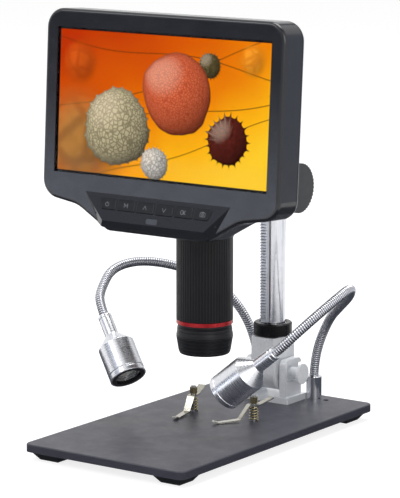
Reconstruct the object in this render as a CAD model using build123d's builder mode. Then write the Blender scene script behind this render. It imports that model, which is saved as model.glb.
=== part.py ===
from build123d import *
from math import atan2, cos, pi, radians, sin, sqrt, tan
import os

# A stand microscope with its own colour display. X runs to the right, Y to the back and Z up.
# The origin is on the table, under the middle of the base plate. All sizes are in millimetres.

os.makedirs("parts", exist_ok=True)

# ---------------------------------------------------------------- fits
run_fit = 0.05  # radial clearance of a shaft, tube or nut that turns or slides
seat_fit = 0.05  # radial clearance of a fixed piece in its seat
air = 0.3  # gap between faces that pass each other
key_air = 0.15  # gap round a key in its slot

# ---------------------------------------------------------------- base plate and feet
base_width = 118.0
base_depth = 210.0
base_corner = 5.0
plate_thickness = 4.9
plate_edge = 0.8
foot_height = 5.6
foot_size = 22.0  # at the plate; the feet narrow downwards
foot_inset = 3.0  # from the plate's edges
foot_slope = 4.3  # each side's run over the foot's height
plate_top = foot_height + plate_thickness
spare_hole_radius = 1.9
spare_hole_x = 29.9
spare_hole_y = 94.1

# ---------------------------------------------------------------- main axes
lens_y = 1.0  # the optical axis, over the middle of the plate
post_reach = 76.0  # from the optical axis back to the post
post_y = lens_y + post_reach

# ---------------------------------------------------------------- post
post_radius = 8.0
post_wall = 2.5
post_bore = post_radius - post_wall
post_top = 240.0
cap_thickness = 3.0
cap_plug = 8.0
cap_round = 1.2

# ---------------------------------------------------------------- stand bracket and tilt block
flange_margin = 1.6  # flange past the cheeks
flange_depth = 22.0
flange_corner = 1.5
flange_setback = 2.5
flange_thickness = 4.0
block_side_wall = 0.85
block_wall = 4.15  # in front of and behind the post
block_width = 2 * (post_radius + run_fit + block_side_wall)
block_depth = 2 * (post_radius + run_fit + block_wall)
block_edge = 0.8
pivot_radius = 3.0
pivot_rise = 15.5  # above the flange
pivot_z = plate_top + flange_thickness + pivot_rise
cheek_gap = 1.7
cheek_thickness = 4.8
cheek_depth = 18.0
cheek_setback = 0.8  # cheeks' middle behind the pivot
cheek_rise = 8.8  # above the pivot
cheek_corner = 3.5
cheek_inner = block_width / 2 + cheek_gap
cheek_outer = cheek_inner + cheek_thickness
flange_width = 2 * (cheek_outer + flange_margin)
pocket_depth = 2.2
pocket_height = 11.0
pocket_wall = 1.7
block_rise = 23.0  # above the pivot
block_top = pivot_z + block_rise
bore_rise = 6.0  # floor of the post's bore above the pivot
spigot_wall = 0.8
spigot_radius = post_radius + run_fit + spigot_wall
spigot_height = 8.0
spigot_chamfer = 0.4
bracket_screw_gap = 10.0
bracket_screw_radius = 1.95
bracket_screw_head = 3.7
bracket_screw_bite = 11.0  # above the plate
bracket_screw_x = cheek_inner + cheek_thickness / 2

thumb_head_radius = 6.6
thumb_head_thickness = 1.6
thumb_shoulder_radius = 4.0
thumb_stand_off = 6.3  # from the cheek to the head
thumb_knurls = 28
thumb_knurl_radius = 0.35
pivot_nut_size = 10.0  # across flats
pivot_nut_thickness = 3.2
pivot_end = 0.8  # screw's end past its nut

collar_wall = 3.5
collar_radius = spigot_radius + run_fit + collar_wall
collar_height = 8.4
collar_chamfer = 0.8

# ---------------------------------------------------------------- rack and pinion
gear_module = 0.6
pinion_teeth = 18
pressure_angle = 20.0
rack_width = 4.2
rack_reach = 4.3  # tips of the rack's teeth in front of the post
rack_front = post_radius + rack_reach
rack_seat = 1.0  # depth of the rack's seat in the post
rack_clear = 1.1  # from the collar nut to the rack's lower end
rack_top_gap = 2.0
rack_start = block_top + air + collar_height + rack_clear
rack_end = post_top - rack_top_gap
tooth_pitch = pi * gear_module
tooth_addendum = gear_module
tooth_dedendum = 1.25 * gear_module
rack_tooth = 0.42 * tooth_pitch  # thickness at the pitch line
pinion_tooth = 0.43 * tooth_pitch
pinion_tip = 0.17 * tooth_pitch
pinion_root = 0.62 * tooth_pitch
pitch_radius = gear_module * pinion_teeth / 2
pinion_width = 8.0
pinion_y = post_y - rack_front + tooth_addendum - pitch_radius
focus_z = 153.0  # the pinion's height

# ---------------------------------------------------------------- carriage and focus drive
carriage_wall = 4.5
carriage_width = 2 * (post_radius + carriage_wall)
carriage_nose = 16.7  # in front of the rack
carriage_front = rack_front + carriage_nose
carriage_back = post_radius + carriage_wall
carriage_height = 30.0
carriage_corner = 3.0
carriage_back_corner = 10.0
carriage_bottom = focus_z - carriage_height / 2
bush_wall = 2.0
bush_length = 8.0
rack_air = 0.5
pinion_air = 0.5
shaft_radius = 3.0
shaft_inset = 2.0
knob_radius = 15.6
knob_length = 15.5
knob_stand_off = 3.5
knob_ribs = 40
knob_rib_radius = 0.55
knob_edge = 0.8
shaft_end = carriage_width / 2 + knob_stand_off + knob_length - shaft_inset
arm_width = 24.0
arm_height = 26.0
arm_root = 4.0

# ---------------------------------------------------------------- camera housing
housing_width = 44.0
housing_reach = 23.0  # behind the optical axis
housing_back = lens_y + housing_reach
chin_z = 134.8  # the chin's lower edge, at the picture's plane
housing_rise = 0.2  # housing's underside above the chin
housing_bottom = chin_z + housing_rise
housing_top = 184.0
housing_wall = 2.5
housing_corner = 5.0
board_pillar = 2.5
board_pillar_radius = 2.5
board_pillar_place = 13.5
sensor_board_size = 34.0
board_thickness = 1.6
sensor_size = 9.0
sensor_height = 1.4

# ---------------------------------------------------------------- lens barrel
nose_bottom = 55.3
nose_height = 18.8
tube_radius = 13.5
tube_wall = 2.0
tube_bore = tube_radius - tube_wall
nose_tip_wall = 2.4
nose_tip_radius = tube_radius + nose_tip_wall
nose_waist_wall = 3.1
nose_waist_radius = tube_radius + nose_waist_wall
nose_belly_wall = 4.15
nose_belly_radius = tube_radius + nose_belly_wall
nose_belly_rise = 10.6
nose_groove = 0.3
nose_lip = 1.0
window_ledge = 0.5  # the tube's bore past the window's edge
window_radius = tube_bore - window_ledge
nose_mouth_ledge = 1.4
nose_mouth = window_radius - nose_mouth_ledge
window_thickness = 1.5
ring_height = 2.4
ring_wall = 4.0
ring_radius = tube_radius + ring_wall
sleeve_wall = 4.05
sleeve_radius = tube_radius + sleeve_wall
sleeve_grooves = 60
sleeve_groove = 0.35
tube_flange_wall = 4.5
tube_flange_radius = tube_radius + tube_flange_wall
tube_flange = 6.6
tube_overlap = 11.4  # tube inside the nose
cell_wall = 2.4
cell_rise = 10.7  # cell's lower end above the nose's
cell_height = 30.0
cell_ledge = 2.0
cell_recess = 4.0
lens_edge = 2.4
lens_bulge = 1.6
lens_rim = 2.2
cell_radius = tube_bore - run_fit
lens_radius = cell_radius - cell_wall - seat_fit

# ---------------------------------------------------------------- display head
screen_lean = 3.5  # degrees, top to the back
screen_y = -44.7
picture_width = 154.2
picture_height = 85.9
picture_border = 1.4
side_margin = 10.4  # from the picture to the body's edge
top_margin = 12.55
low_margin = 16.35
body_half = picture_width / 2 + side_margin
body_up = picture_height / 2 + top_margin
body_down = picture_height / 2 + low_margin
body_radius = 12.0
shoulder_half = 60.5
shoulder_drop = 4.2  # below the body's lower corners
shoulder_down = body_down + shoulder_drop
shoulder_radius = 22.0
chin_half = 37.0
chin_drop = 17.9  # below the body's lower corners
chin_down = body_down + chin_drop
chin_radius = 7.0
screen_z = chin_z + chin_down  # middle of the picture
face_out = 0.8  # front face in front of the picture's plane
face_wall = 2.0
side_wall = 2.5
bezel_depth = 18.3
front_round = 2.4
seam = 0.3
cover_thickness = 3.0
cover_round = 2.6
lip_depth = 2.0
lip_wall = 1.5
lip_fit = 0.2
glass_recess = 0.4
glass_thickness = 1.5
glass_fit = 0.2
glass_corner = 0.8
panel_margin_x = 2.9
panel_margin_y = 3.3
panel_thickness = 4.2
boss_radius = 2.8
screw_radius = 1.5
screw_length = 10.0
screw_head_radius = 2.75
screw_head_height = 2.0
screw_socket = 1.25
boss_inset = 5.5  # top screws below the body's top edge
top_screw_inset = 11.5
top_screw_x = body_half - top_screw_inset
low_screw_inset = 17.5
low_screw_x = body_half - low_screw_inset
low_screw_rise = 7.3  # lower screws above the body's lower corners
body_screws = [(x, body_up - boss_inset) for x in (-top_screw_x, 0.0, top_screw_x)]
body_screws += [(x, low_screw_rise - body_down) for x in (-low_screw_x, low_screw_x)]
housing_screw_x = 16.0
housing_screw_rises = (9.2, 37.2)  # above the chin's lower edge
housing_screws = [(x, rise - chin_down) for x in (-housing_screw_x, housing_screw_x) for rise in housing_screw_rises]
arm_screw_x = 7.0
arm_screw_gap = 18.0
cable_slot_width = 20.0
cable_slot_height = 12.0
cable_slot_rise = 23.2  # above the chin's lower edge
cable_slot_v = cable_slot_rise - chin_down
main_board_width = 104.0
main_board_height = 62.0
main_board_air = 1.5
main_board_u = main_board_width / 2 + side_wall + main_board_air - body_half
main_board_v = -6.0
main_board_depth = 9.0  # its front behind the picture's plane
main_board_inset = 4.2
chip_size = 14.0
chip_height = 1.8
port_height = 3.0
port_depth = 9.0
port_widths = [9.0, 11.2, 12.0]
port_pitch = 16.0
port_v = 8.0
port_air = 0.3
vent_length = 24.0
vent_width = 2.0
vent_pitch = 5.0
vent_count = 6
vent_u = 52.0
vent_v = 12.0

# ---------------------------------------------------------------- keys
# The key panel is a wedge on the chin, flush at its top edge and proud at its lower edge.
wedge_rise = 4.8  # above the body's lower corners
wedge_top = wedge_rise - body_down
wedge_run = 16.0
wedge_bottom = wedge_top - wedge_run
wedge_proud = 3.9
wedge_half_top = 53.5
wedge_half_bottom = 37.5
wedge_flank = 56.0  # degrees, slope of its flanks from the face's normal
wedge_lip = 50.0  # degrees, slope of its lower lip
wedge_inset = 0.4
key_count = 6
key_pitch = 14.1
key_width = 12.8
key_height = 6.6
key_drop = 6.1  # keys' middles below the wedge's top edge
key_v = wedge_top - key_drop
key_corner = 0.9
key_slant = 2.4
key_edge = 0.3
key_proud = 0.5
key_travel = 0.8
key_wall = 2.0
key_stop = 0.1  # gap between a key's flange and the wall
key_flange = 0.5
key_flange_thickness = 0.8
key_stem = 1.6
key_pocket = 1.0  # room round the keys' flanges
key_frame = 1.6
key_frame_start = 1.5
key_board_depth = 6.4
key_board_thickness = 1.2
switch_size = 5.0
switch_height = 1.8
ir_width = 8.8
ir_height = 3.5
ir_drop = 7.7
ir_u = -1.2
ir_frame = 1.1
ir_thickness = 2.2
receiver_height = 2.4

# ---------------------------------------------------------------- stage clips
clip_x = 23.0
clip_setback = 20.5  # behind the optical axis
clip_y = lens_y + clip_setback
clip_turns = {"left": 9.0, "right": -35.0}  # degrees, from straight forward towards +X
stud_radius = 1.5
stud_height = 16.5
stud_head_size = 7.0  # across flats
stud_head_thickness = 2.6
strip_thickness = 0.8
strip_width = 5.0
strip_tip_width = 2.8
strip_hole = 1.8
strip_rise = 10.4  # middle of the sheet above the plate, at the stud
strip_tail = 12.5
strip_tail_rise = 14.2
strip_flat = 3.4
strip_knee = 9.8
strip_knee_rise = 1.5
strip_toe = 23.5
strip_toe_rise = 0.75
strip_tip = 27.0
strip_tip_rise = 2.0
strip_bend = 1.2
spring_wire = 0.45
spring_radius = 2.6
spring_turns = 5
spring_room = 0.6
nut_gap = 0.45
nut_neck_radius = 2.05
nut_neck_height = 0.7
nut_radius = 2.4
nut_height = 3.6
nut_knurls = 18
nut_knurl_radius = 0.2

# ---------------------------------------------------------------- lamps
socket_radius = 4.9
socket_gap = 0.9  # from the cheek's outer face to the socket, seen from the front
socket_x = cheek_outer + socket_gap + socket_radius
socket_y = 93.2
socket_height = 15.4
socket_chamfer = 0.6
socket_stem = 3.0
socket_stem_drop = 8.4
socket_nut_size = 10.0
socket_nut_thickness = 3.0
neck_radius = 3.0
bend_share = 0.45
lamp_radius = 11.6
lamp_barrel = 22.9
lamp_cone = 7.8
lamp_collar = 4.3
lamp_pivot = 41.8  # from the mouth back to the neck's pivot
lamp_groove = 0.5
lamp_groove_depth = 3.6
lamp_wall = 1.8
lamp_bore = lamp_radius - lamp_wall
lamp_cavity = 19.8
lamp_rim = 1.0
lamp_ring_width = 2.2
lamp_ring_seat = lamp_radius - lamp_rim
lamp_ring_bore = lamp_ring_seat - lamp_ring_width
lamp_ring_depth = 2.2
led_board_thickness = 1.4
led_size = 4.0
led_height = 1.0
led_gap = 0.4
optic_rim = 1.6
optic_back = 4.2
lamps = {
    "left": {
        "foot": (-socket_x, socket_y),
        "mouth": (-43.3, -20.0, 37.3),
        "aim": (0.613, -0.269, -0.743),
        "lower_route": [(-23.1, 92.1, 45.4), (-33.7, 84.1, 71.4), (-52.0, 67.5, 90.2)],
        "upper_route": [(-74.2, 42.1, 99.6), (-85.1, 19.4, 97.1), (-81.9, 2.9, 85.4)],
        "last_run": 14.2,
    },
    "right": {
        "foot": (socket_x, socket_y),
        "mouth": (28.9, -20.1, 37.4),
        "aim": (-0.771, -0.083, -0.631),
        "lower_route": [(22.3, 92.0, 39.6), (36.1, 86.1, 65.6), (56.2, 68.0, 79.4)],
        "upper_route": [(74.5, 51.0, 91.3), (83.0, 38.7, 99.7), (83.2, 18.2, 94.1), (77.8, -7.4, 81.4)],
        "last_run": 9.4,
    },
}


def save(builder, name):
    """Label a finished piece and write it to its own file."""
    builder.part.label = name
    export_step(builder.part, f"parts/{name}.step")


def hexagon_radius(across_flats):
    """Corner radius of a hexagon from its size across flats."""
    return across_flats / 2 / cos(radians(30))


# ================================================================ base
lamp_feet = [lamps[side]["foot"] for side in lamps]
clip_places = {"left": (-clip_x, clip_y), "right": (clip_x, clip_y)}
bracket_screw_places = [
    (side * bracket_screw_x, post_y + step * bracket_screw_gap / 2) for side in (-1, 1) for step in (-1, 1)
]

with BuildPart() as base_plate:
    with BuildSketch(Plane.XY.offset(foot_height)):
        RectangleRounded(base_width, base_depth, base_corner)
    extrude(amount=plate_thickness)
    fillet(base_plate.faces().sort_by(Axis.Z)[-1].edges(), plate_edge)
    with BuildSketch(Plane.XY.offset(foot_height)):
        with Locations(*clip_places.values()):
            Circle(stud_radius + seat_fit)
        with Locations(*lamp_feet):
            Circle(socket_stem + seat_fit)
        with Locations((spare_hole_x, spare_hole_y)):
            Circle(spare_hole_radius)
    extrude(amount=plate_thickness, mode=Mode.SUBTRACT)
    with Locations(*[Location((x, y, foot_height), (180, 0, 0)) for x, y in bracket_screw_places]):
        CounterSinkHole(bracket_screw_radius + seat_fit, bracket_screw_head + seat_fit, depth=plate_thickness,
                        counter_sink_angle=90)
save(base_plate, "base_plate")

foot_across = base_width - 2 * foot_inset - foot_size
foot_along = base_depth - 2 * foot_inset - foot_size

with BuildPart() as foot_pad:
    for level, size in ((0, foot_size - 2 * foot_slope), (foot_height, foot_size)):
        with BuildSketch(Plane.XY.offset(level)):
            Rectangle(size, size)
    loft()

with BuildPart() as foot_pads:
    with GridLocations(foot_across, foot_along, 2, 2):
        add(foot_pad.part)
save(foot_pads, "foot_pads")

with BuildPart() as stand_bracket:
    with BuildSketch(Plane.XY.offset(plate_top)):
        with Locations((0, post_y + flange_setback)):
            RectangleRounded(flange_width, flange_depth, flange_corner)
    extrude(amount=flange_thickness)
    cheek_height = flange_thickness + pivot_rise + cheek_rise
    with BuildSketch(Plane.YZ.offset(cheek_inner), Plane.YZ.offset(-cheek_outer)) as cheek:
        with Locations((post_y + cheek_setback, plate_top)):
            Rectangle(cheek_depth, cheek_height, align=(Align.CENTER, Align.MIN))
        fillet(cheek.vertices().group_by(Axis.Y)[-1], cheek_corner)
    extrude(amount=cheek_thickness)
    with BuildSketch(Plane.YZ.offset(-cheek_outer)):
        with Locations((post_y, pivot_z)):
            Circle(pivot_radius + run_fit)
    extrude(amount=2 * cheek_outer, mode=Mode.SUBTRACT)
    with BuildSketch(Plane.YZ.offset(cheek_outer)):
        with Locations((post_y + cheek_setback - cheek_depth / 2 + pocket_wall, pivot_z)):
            Rectangle(cheek_depth, pocket_height, align=(Align.MIN, Align.CENTER))
    extrude(amount=-pocket_depth, mode=Mode.SUBTRACT)
    with BuildSketch(Plane.XY.offset(plate_top)):
        with Locations(*bracket_screw_places):
            Circle(bracket_screw_radius + seat_fit)
    extrude(amount=bracket_screw_bite + air, mode=Mode.SUBTRACT)
save(stand_bracket, "stand_bracket")

with BuildPart() as bracket_screws:
    with BuildSketch(Plane.XY.offset(foot_height)):
        with Locations(*bracket_screw_places):
            Circle(bracket_screw_radius)
    extrude(amount=plate_thickness + bracket_screw_bite)
    head_height = bracket_screw_head - bracket_screw_radius
    with Locations(*[(x, y, foot_height + head_height / 2) for x, y in bracket_screw_places]):
        Cone(bracket_screw_head, bracket_screw_radius, head_height)
    with Locations(*[(x, y, foot_height) for x, y in bracket_screw_places]):
        Cylinder(screw_socket, head_height, mode=Mode.SUBTRACT)
save(bracket_screws, "bracket_screws")

with BuildPart() as pivot_nut:
    with BuildSketch(Plane.YZ.offset(-cheek_outer)):
        with Locations((post_y, pivot_z)):
            RegularPolygon(hexagon_radius(pivot_nut_size), 6)
            Circle(pivot_radius + run_fit, mode=Mode.SUBTRACT)
    extrude(amount=-pivot_nut_thickness)
save(pivot_nut, "pivot_nut")

with BuildPart() as thumb_screw:
    shaft_tip = cheek_outer + pivot_nut_thickness + pivot_end
    shoulder_start = cheek_outer - pocket_depth + air
    head_start = cheek_outer + thumb_stand_off
    with BuildSketch(Plane.YZ.offset(-shaft_tip)):
        with Locations((post_y, pivot_z)):
            Circle(pivot_radius)
    extrude(amount=shaft_tip + shoulder_start)
    with BuildSketch(Plane.YZ.offset(shoulder_start)):
        with Locations((post_y, pivot_z)):
            Circle(thumb_shoulder_radius)
    extrude(amount=head_start - shoulder_start)
    with BuildSketch(Plane.YZ.offset(head_start)):
        with Locations((post_y, pivot_z)):
            Circle(thumb_head_radius)
            with PolarLocations(thumb_head_radius, thumb_knurls):
                Circle(thumb_knurl_radius, mode=Mode.SUBTRACT)
    extrude(amount=thumb_head_thickness)
save(thumb_screw, "thumb_screw")

with BuildPart() as tilt_block:
    with BuildSketch(Plane.YZ):
        with Locations((post_y, pivot_z)):
            Circle(block_depth / 2)
            Rectangle(block_depth, block_rise, align=(Align.CENTER, Align.MIN))
    extrude(amount=block_width / 2, both=True)
    chamfer(tilt_block.edges().filter_by(Axis.Z), block_edge)
    with BuildSketch(Plane.XY.offset(block_top)):
        with Locations((0, post_y)):
            Circle(spigot_radius)
    extrude(amount=spigot_height)
    chamfer(tilt_block.edges().sort_by(Axis.Z)[-1], spigot_chamfer)
    with BuildSketch(Plane.XY.offset(pivot_z + bore_rise)):
        with Locations((0, post_y)):
            Circle(post_radius + run_fit)
    extrude(amount=block_rise + spigot_height, mode=Mode.SUBTRACT)
    with BuildSketch(Plane.YZ.offset(-block_width / 2)):
        with Locations((post_y, pivot_z)):
            Circle(pivot_radius + run_fit)
    extrude(amount=block_width, mode=Mode.SUBTRACT)
save(tilt_block, "tilt_block")

with BuildPart() as collar_nut:
    with BuildSketch(Plane.XY.offset(block_top + air)):
        with Locations((0, post_y)):
            Circle(collar_radius)
    extrude(amount=collar_height)
    chamfer(collar_nut.edges(), collar_chamfer)
    with BuildSketch(Plane.XY.offset(block_top + air)):
        with Locations((0, post_y)):
            Circle(spigot_radius + run_fit)
    extrude(amount=collar_height, mode=Mode.SUBTRACT)
save(collar_nut, "collar_nut")

# ================================================================ post and rack
post_start = pivot_z + bore_rise + air

with BuildPart() as post:
    with BuildSketch(Plane.XY.offset(post_start)):
        with Locations((0, post_y)):
            Circle(post_radius)
            Circle(post_bore, mode=Mode.SUBTRACT)
    extrude(amount=post_top - post_start)
    with BuildSketch(Plane.XY.offset(rack_start)):
        with Locations((0, post_y - post_radius + rack_seat)):
            Rectangle(rack_width + 2 * seat_fit, 2 * rack_seat, align=(Align.CENTER, Align.MAX))
    extrude(amount=post_top - rack_start, mode=Mode.SUBTRACT)
save(post, "post")

with BuildPart() as post_cap:
    with BuildSketch(Plane.XY.offset(post_top)):
        with Locations((0, post_y)):
            Circle(post_radius)
    extrude(amount=cap_thickness)
    fillet(post_cap.edges().sort_by(Axis.Z)[-1], cap_round)
    with BuildSketch(Plane.XY.offset(post_top)):
        with Locations((0, post_y)):
            Circle(post_bore - seat_fit)
    extrude(amount=-cap_plug)
save(post_cap, "post_cap")

rack_tip_y = post_y - rack_front
rack_root_y = rack_tip_y + tooth_addendum + tooth_dedendum
tip_half = rack_tooth / 2 - tooth_addendum * tan(radians(pressure_angle))
root_half = rack_tooth / 2 + tooth_dedendum * tan(radians(pressure_angle))
first_tooth = int((rack_start + root_half - focus_z) / tooth_pitch) - 1
last_tooth = int((rack_end - root_half - focus_z) / tooth_pitch) + 1
tooth_heights = [focus_z + (count + 0.5) * tooth_pitch for count in range(first_tooth, last_tooth)]
tooth_heights = [z for z in tooth_heights if rack_start < z - root_half and z + root_half < rack_end]
rack_profile = [(post_y - post_radius + rack_seat, rack_start), (rack_root_y, rack_start)]
for z in tooth_heights:
    rack_profile += [(rack_root_y, z - root_half), (rack_tip_y, z - tip_half)]
    rack_profile += [(rack_tip_y, z + tip_half), (rack_root_y, z + root_half)]
rack_profile += [(rack_root_y, rack_end), (post_y - post_radius + rack_seat, rack_end)]

with BuildPart() as gear_rack:
    with BuildSketch(Plane.YZ):
        with BuildLine():
            Polyline(*rack_profile, close=True)
        make_face()
    extrude(amount=rack_width / 2, both=True)
save(gear_rack, "gear_rack")

# ================================================================ carriage and focus drive
carriage_face = post_y - carriage_front
arm_screw_places = [(x, focus_z + step * arm_screw_gap / 2) for x in (-arm_screw_x, arm_screw_x) for step in (-1, 1)]
cavity_half = pinion_width / 2 + pinion_air
cavity_radius = pitch_radius + tooth_addendum + air

with BuildPart() as carriage:
    with BuildSketch(Plane.XY.offset(carriage_bottom)) as footprint:
        with Locations((0, post_y + (carriage_back - carriage_front) / 2)):
            Rectangle(carriage_width, carriage_front + carriage_back)
        fillet(footprint.vertices().group_by(Axis.Y)[0], carriage_corner)
        fillet(footprint.vertices().group_by(Axis.Y)[-1], carriage_back_corner)
    extrude(amount=carriage_height)
    with BuildSketch(Plane.XZ.offset(-carriage_face - arm_root)):
        with Locations((0, focus_z)):
            Rectangle(arm_width, arm_height)
    extrude(amount=carriage_face + arm_root - housing_back)
    with BuildSketch(Plane.XY.offset(carriage_bottom)):
        with Locations((0, post_y)):
            Circle(post_radius + air)
            Rectangle(rack_width + 2 * rack_air, rack_front + rack_air, align=(Align.CENTER, Align.MAX))
    extrude(amount=carriage_height, mode=Mode.SUBTRACT)
    with BuildSketch(Plane.XY.offset(carriage_bottom), Plane.XY.offset(focus_z + carriage_height / 2 - bush_length)):
        with Locations((0, post_y)):
            Circle(post_radius + bush_wall + seat_fit)
    extrude(amount=bush_length, mode=Mode.SUBTRACT)
    with BuildSketch(Plane.YZ.offset(-cavity_half)):
        with Locations((pinion_y, focus_z)):
            Circle(cavity_radius)
    extrude(amount=2 * cavity_half, mode=Mode.SUBTRACT)
    with BuildSketch(Plane.YZ.offset(-carriage_width / 2)):
        with Locations((pinion_y, focus_z)):
            Circle(shaft_radius + run_fit)
    extrude(amount=carriage_width, mode=Mode.SUBTRACT)
    with BuildSketch(Plane.XZ.offset(-housing_back)):
        with Locations(*arm_screw_places):
            Circle(screw_radius + seat_fit)
    extrude(amount=housing_wall - screw_length - air, mode=Mode.SUBTRACT)
save(carriage, "carriage")

with BuildPart() as slide_bushes:
    with BuildSketch(Plane.XY.offset(carriage_bottom), Plane.XY.offset(focus_z + carriage_height / 2 - bush_length)):
        with Locations((0, post_y)):
            Circle(post_radius + bush_wall)
            Circle(post_radius + run_fit, mode=Mode.SUBTRACT)
            Rectangle(rack_width + 2 * rack_air, rack_front, align=(Align.CENTER, Align.MAX), mode=Mode.SUBTRACT)
    extrude(amount=bush_length)
save(slide_bushes, "slide_bushes")

with BuildPart() as focus_shaft:
    with BuildSketch(Plane.YZ):
        with Locations((pinion_y, focus_z)):
            Circle(shaft_radius)
    extrude(amount=shaft_end, both=True)
save(focus_shaft, "focus_shaft")

root_radius = pitch_radius - tooth_dedendum
tip_radius = pitch_radius + tooth_addendum
tooth_foot = root_radius - tooth_dedendum / 2

with BuildPart() as pinion_gear:
    with BuildSketch(Plane.YZ):
        with Locations((pinion_y, focus_z)):
            Circle(root_radius)
            with PolarLocations(0, pinion_teeth):
                Polygon(
                    (tooth_foot, -pinion_root / 2),
                    (root_radius, -pinion_root / 2),
                    (pitch_radius, -pinion_tooth / 2),
                    (tip_radius, -pinion_tip / 2),
                    (tip_radius, pinion_tip / 2),
                    (pitch_radius, pinion_tooth / 2),
                    (root_radius, pinion_root / 2),
                    (tooth_foot, pinion_root / 2),
                    align=None,
                )
            Circle(shaft_radius + seat_fit, mode=Mode.SUBTRACT)
    extrude(amount=pinion_width / 2, both=True)
save(pinion_gear, "pinion_gear")

for side, outward in (("left", -1), ("right", 1)):
    knob_start = outward * (carriage_width / 2 + knob_stand_off)
    with BuildPart() as focus_knob:
        with BuildSketch(Plane.YZ.offset(knob_start)):
            with Locations((pinion_y, focus_z)):
                Circle(knob_radius)
                with PolarLocations(knob_radius, knob_ribs):
                    Circle(knob_rib_radius, mode=Mode.SUBTRACT)
        extrude(amount=outward * knob_length)
        with BuildSketch(Plane.YZ.offset(knob_start)):
            with Locations((pinion_y, focus_z)):
                Circle(knob_radius)
        extrude(amount=outward * knob_edge)
        with BuildSketch(Plane.YZ.offset(knob_start)):
            with Locations((pinion_y, focus_z)):
                Circle(shaft_radius + seat_fit)
        extrude(amount=outward * (knob_length - shaft_inset + air), mode=Mode.SUBTRACT)
    save(focus_knob, f"focus_knob_{side}")

# ================================================================ display head: planes and outlines
lean = radians(screen_lean)
screen = Plane(origin=(0, screen_y, screen_z), x_dir=(1, 0, 0), z_dir=(0, -cos(lean), sin(lean)))
towards_viewer = Axis(screen.origin, screen.z_dir)
bezel_back = bezel_depth - face_out
cover_front = bezel_back + seam
cover_back = cover_front + cover_thickness
inner_face = face_wall - face_out

wedge_lean = atan2(wedge_proud, wedge_run)
key_out = face_out + wedge_proud * (wedge_top - key_v) / wedge_run
key_normal = screen.y_dir * sin(wedge_lean) + screen.z_dir * cos(wedge_lean)
key_panel = Plane(origin=screen.from_local_coords((0, key_v, key_out)), x_dir=(1, 0, 0), z_dir=key_normal)
key_middles = [(count - (key_count - 1) / 2) * key_pitch for count in range(key_count)]


def corner_pair(sketch, half, down):
    """The two corners of a mirrored outline at one half width and height."""
    return sketch.vertices().filter_by(lambda p: abs(abs(p.X) - half) < 0.01 and abs(p.Y - down) < 0.01)


with BuildSketch() as body_outline:
    with BuildLine():
        Polyline(
            (-body_half, body_up),
            (body_half, body_up),
            (body_half, -body_down),
            (shoulder_half, -shoulder_down),
            (chin_half, -chin_down),
            (-chin_half, -chin_down),
            (-shoulder_half, -shoulder_down),
            (-body_half, -body_down),
            close=True,
        )
    make_face()
    fillet(corner_pair(body_outline, body_half, body_up), body_radius)
    fillet(corner_pair(body_outline, body_half, -body_down), body_radius)
    fillet(corner_pair(body_outline, shoulder_half, -shoulder_down), shoulder_radius)
    fillet(corner_pair(body_outline, chin_half, -chin_down), chin_radius)


def inner_outline(inset):
    """The head's outline drawn in by a margin."""
    with BuildSketch() as inner:
        add(body_outline.sketch)
        offset(amount=-inset)
    return inner.sketch


def key_face(index, grow=0.0):
    """One key's outline in the key panel's plane, grown all round; the row's ends slant inward."""
    left = key_middles[index] - key_width / 2
    right = key_middles[index] + key_width / 2
    left_slant = key_slant if index == 0 else 0
    right_slant = key_slant if index == key_count - 1 else 0
    with BuildSketch() as face:
        with BuildLine():
            Polyline(
                (left, key_height / 2),
                (right, key_height / 2),
                (right - right_slant, -key_height / 2),
                (left + left_slant, -key_height / 2),
                close=True,
            )
        make_face()
        fillet(face.vertices(), key_corner)
        if grow > 0:
            offset(amount=grow)
    return face.sketch


# ================================================================ display head: the key wedge
with BuildPart() as wedge:
    upright = Plane(origin=screen.origin, x_dir=screen.y_dir, z_dir=screen.x_dir)
    lip_foot = wedge_bottom - wedge_proud * tan(radians(wedge_lip))
    with BuildSketch(upright):
        with BuildLine():
            Polyline(
                (wedge_top, face_out),
                (wedge_bottom, face_out + wedge_proud),
                (lip_foot, face_out),
                (lip_foot, face_out - face_wall / 2),
                (wedge_top, face_out - face_wall / 2),
                close=True,
            )
        make_face()
    extrude(amount=body_half)
    flank_top = Vector(wedge_half_top, wedge_top, face_out)
    flank_low = Vector(wedge_half_bottom, wedge_bottom, face_out + wedge_proud)
    outward = Vector(wedge_run, wedge_half_bottom - wedge_half_top, 0).normalized()
    flank_foot = flank_low + outward * wedge_proud * tan(radians(wedge_flank)) - Vector(0, 0, wedge_proud)
    top, low, foot = [screen.from_local_coords(point) for point in (flank_top, flank_low, flank_foot)]
    flank = Plane(origin=top, x_dir=low - top, z_dir=(low - top).cross(foot - top))
    split(bisect_by=flank, keep=Keep.BOTTOM)
    mirror(about=Plane.YZ)
    with BuildSketch(screen.offset(-bezel_back)):
        add(inner_outline(wedge_inset))
    extrude(amount=bezel_depth + wedge_proud, mode=Mode.INTERSECT)

# ================================================================ display head: bezel and cover
window_width = picture_width + 2 * picture_border
window_height = picture_height + 2 * picture_border
pocket_half = key_middles[-1] + key_width / 2 + key_flange + key_pocket
pocket_up = key_height / 2 + key_flange + key_pocket
frame_half = pocket_half + key_frame
frame_up = pocket_up + key_frame
ir_tab_half = ir_width / 2 + key_frame
ir_tab_down = ir_drop + ir_height / 2 + ir_frame
port_places = [port_v - count * port_pitch for count in range(len(port_widths))]
port_out = -main_board_depth - board_thickness - port_height / 2


def draw_key_frame():
    """The frame round the keys with its tab round the receiver, in the running sketch."""
    Rectangle(2 * frame_half, 2 * frame_up)
    with Locations((ir_u, 0)):
        Rectangle(2 * ir_tab_half, ir_tab_down, align=(Align.CENTER, Align.MAX))


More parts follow.
